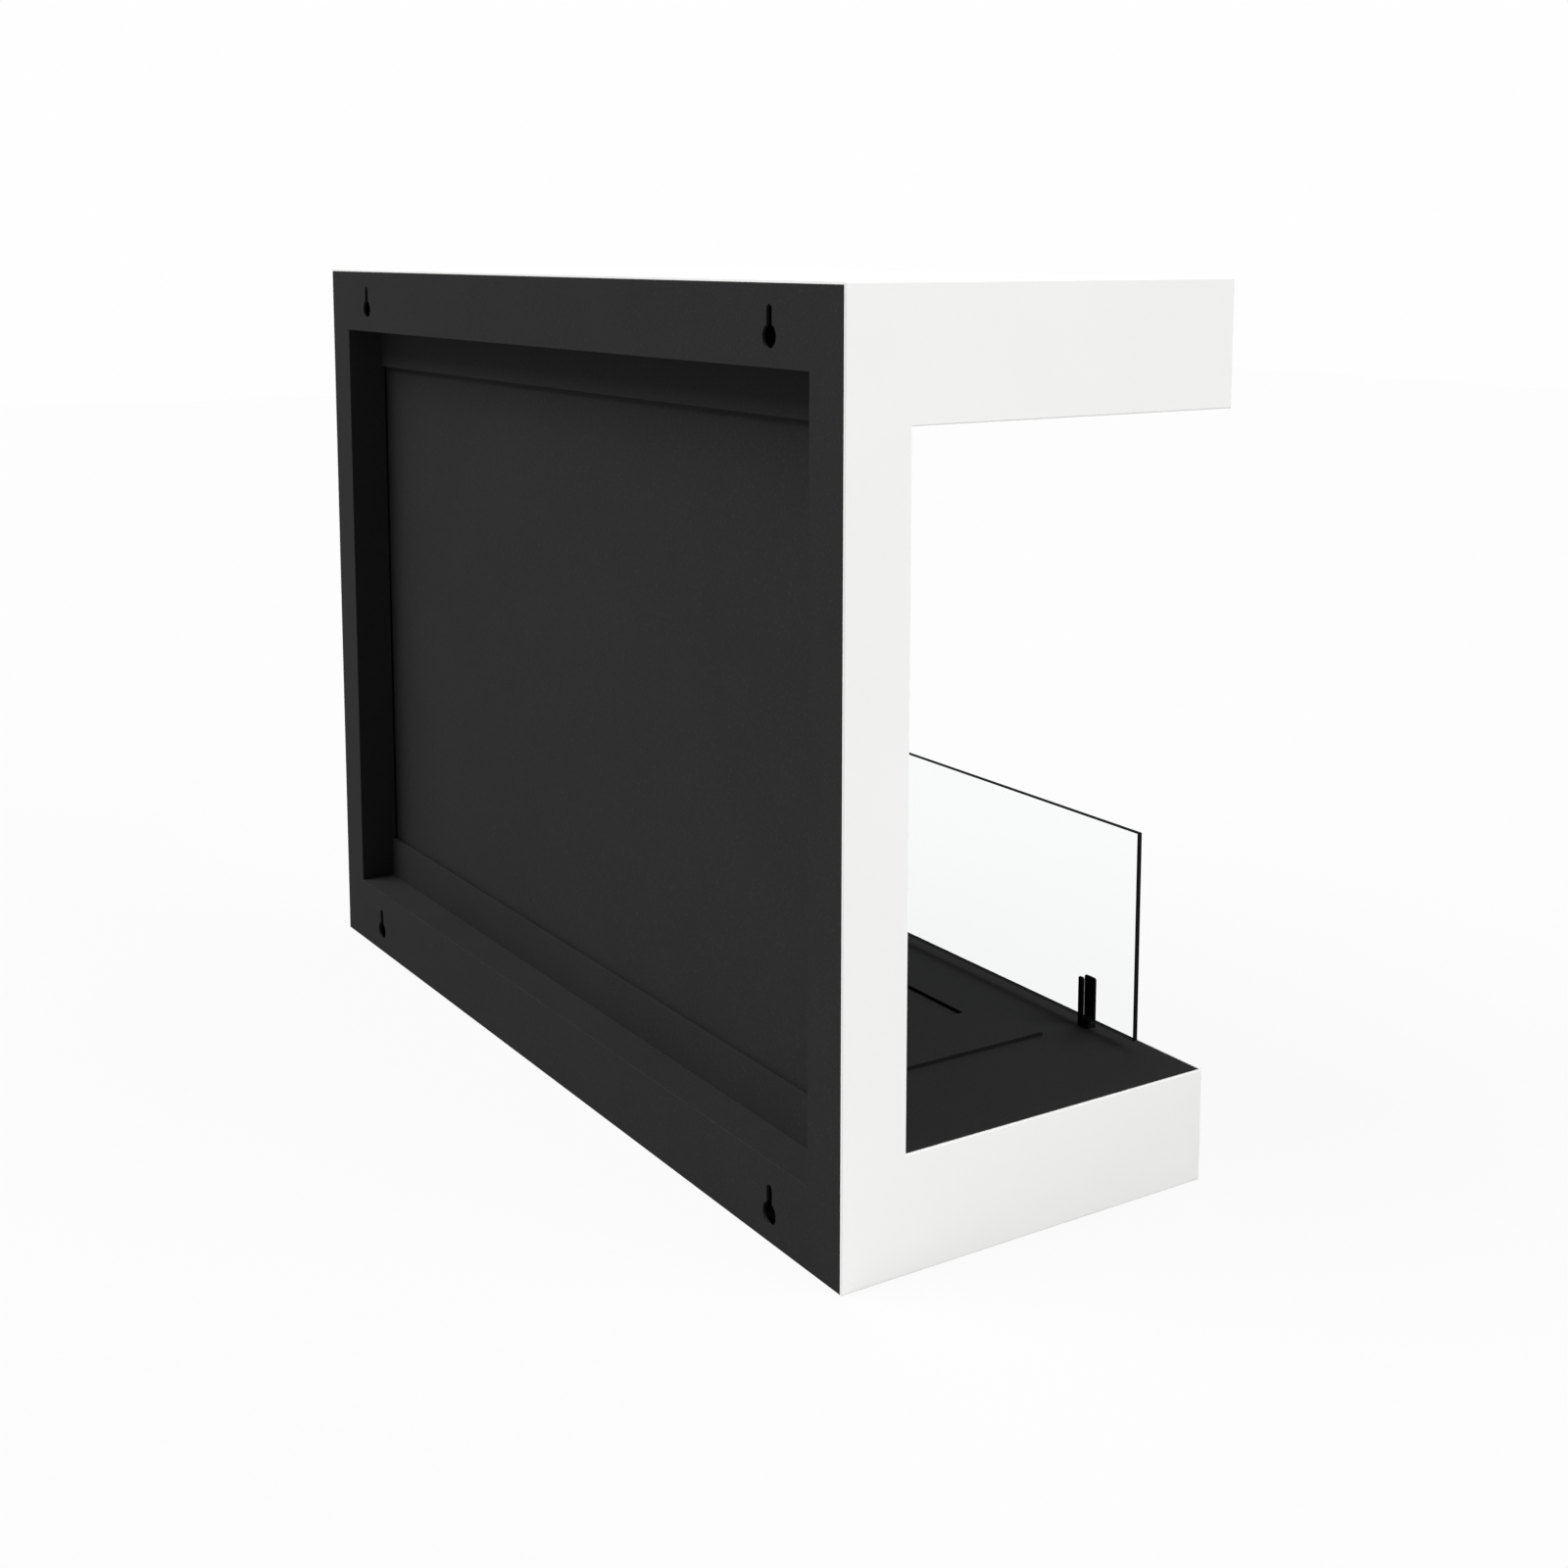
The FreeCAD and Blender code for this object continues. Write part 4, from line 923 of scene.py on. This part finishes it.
class FIREPLACE_OT_studio(Piece, bpy.types.Operator):
    """Set up the floor, the lights and the camera"""
    bl_idname = "fireplace.studio"
    bl_label = "Studio"

    def build(self, scene):
        studio = scene.fireplace_studio
        self.build_surroundings(scene, studio)
        self.build_floor(studio)
        for name, towards, power in (
                ("rear softbox", (0.42, 0.9, 1.3), studio.rear_light),
                ("side softbox", (-0.9, -0.55, 0.62), studio.side_light),
                ("front softbox", (0.3, -0.9, 0.8), studio.front_light)):
            lamp = bpy.data.lights.new(name, "SUN")
            lamp.energy = power
            lamp.angle = studio.softness
            light = bpy.data.objects.new(name, lamp)
            light.rotation_euler = Vector(towards).to_track_quat("Z", "Y").to_euler()
            scene.collection.objects.link(light)
        lens = bpy.data.cameras.new("studio camera")
        lens.lens = studio.lens
        lens.shift_x = studio.shift_x
        lens.shift_y = studio.shift_y
        camera = bpy.data.objects.new("studio camera", lens)
        camera.location = studio.eye
        camera.rotation_euler = (math.pi / 2 - studio.elevation, 0.0, studio.azimuth)
        scene.collection.objects.link(camera)
        scene.camera = camera

    def looked_at(self, tree):
        """1 for what is seen straight or through glass, 0 for what only gives light."""
        ray = add(tree, "ShaderNodeLightPath")
        straight = add(tree, "ShaderNodeMath", {
            0: ray.outputs["Is Camera Ray"], 1: ray.outputs["Is Transmission Ray"]},
            operation="MAXIMUM")
        return add(tree, "ShaderNodeMath", {
            0: straight.outputs["Value"], 1: ray.outputs["Diffuse Depth"]},
            operation="SUBTRACT", use_clamp=True).outputs["Value"]

    def build_surroundings(self, scene, studio):
        """White surroundings. They look white through glass too, but light the object softly."""
        world = bpy.data.worlds.new("white studio")
        scene.world = world
        world.use_nodes = True
        tree = world.node_tree
        tree.nodes.clear()
        glow = add(tree, "ShaderNodeMapRange", {
            "Value": self.looked_at(tree), "To Min": studio.glow, "To Max": 1.0})
        light = add(tree, "ShaderNodeBackground", {
            "Color": paint(studio.paper), "Strength": glow.outputs["Result"]})
        add(tree, "ShaderNodeOutputWorld", {"Surface": light.outputs["Background"]})
        scene.view_settings.view_transform = "Standard"

    def build_floor(self, studio):
        """Pale paper floor, just below the base. It looks white and throws back little light."""
        made, tree, place = begin("pale paper floor")
        pulp = add(tree, "ShaderNodeTexNoise", {"Vector": place, "Scale": 2.0, "Detail": 2.0})
        colours = add(tree, "ShaderNodeMix", {
            0: pulp.outputs["Fac"], 6: paint(studio.paper, 0.95 * studio.floor_tone),
            7: paint(studio.paper, studio.floor_tone)}, data_type="RGBA")
        paper = add(tree, "ShaderNodeBsdfDiffuse", {"Color": colours.outputs[2]})
        white = add(tree, "ShaderNodeEmission", {
            "Color": paint(studio.paper), "Strength": studio.floor_glow})
        lit = add(tree, "ShaderNodeMath", {
            0: self.looked_at(tree), 1: studio.floor_evenness}, operation="MULTIPLY")
        shader = add(tree, "ShaderNodeMixShader", {
            0: lit.outputs["Value"], 1: paper.outputs["BSDF"], 2: white.outputs["Emission"]})
        end(made, shader.outputs["Shader"])
        bm = bmesh.new()
        bmesh.ops.create_grid(bm, x_segments=1, y_segments=1, size=studio.floor / 2)
        below = -0.5 * MM         # clear of the base, so that the two faces don't fight
        bmesh.ops.translate(bm, verts=bm.verts, vec=(0, 0, below))
        mesh = bpy.data.meshes.new("studio_floor")
        bm.to_mesh(mesh)
        bm.free()
        mesh.materials.append(made)
        floor = bpy.data.objects.new("studio_floor", mesh)
        bpy.context.scene.collection.objects.link(floor)


OPERATORS = (
    FIREPLACE_OT_white_casing,
    FIREPLACE_OT_black_sheets,
    FIREPLACE_OT_glass_holders,
    FIREPLACE_OT_inner_metal,
    FIREPLACE_OT_insulation,
    FIREPLACE_OT_glass_pane,
    FIREPLACE_OT_screws,
    FIREPLACE_OT_nuts,
    FIREPLACE_OT_lid_handle,
    FIREPLACE_OT_ceramic_wool,
    FIREPLACE_OT_seal_tape,
    FIREPLACE_OT_studio,
)

SETTINGS = {
    "fireplace_finish": FinishSettings,
    "fireplace_hardware": HardwareSettings,
    "fireplace_soft": SoftSettings,
    "fireplace_studio": StudioSettings,
}


class FIREPLACE_PT_sidebar(bpy.types.Panel):
    """Lists the fireplace's pieces"""
    bl_idname = "FIREPLACE_PT_sidebar"
    bl_label = "Three-sided fireplace"
    bl_space_type = "VIEW_3D"
    bl_region_type = "UI"
    bl_category = "Fireplace"

    def draw(self, context):
        for operator in OPERATORS:
            self.layout.operator(operator.bl_idname)
        for name, group in SETTINGS.items():
            column = self.layout.column()
            column.label(text=group.__doc__)
            for setting in group.__annotations__:
                column.prop(getattr(context.scene, name), setting)


def register():
    """Registers the settings, the operators and the panel."""
    for name, group in SETTINGS.items():
        bpy.utils.register_class(group)
        setattr(bpy.types.Scene, name, bpy.props.PointerProperty(type=group))
    for group in (*OPERATORS, FIREPLACE_PT_sidebar):
        bpy.utils.register_class(group)


def unregister():
    """Removes what register added."""
    for group in (FIREPLACE_PT_sidebar, *reversed(OPERATORS)):
        bpy.utils.unregister_class(group)
    for name, group in reversed(SETTINGS.items()):
        delattr(bpy.types.Scene, name)
        bpy.utils.unregister_class(group)


def main():
    """Builds the whole scene."""
    register()
    for operator in OPERATORS:
        family, name = operator.bl_idname.split(".")
        getattr(getattr(bpy.ops, family), name)()


if __name__ == "__main__":
    main()
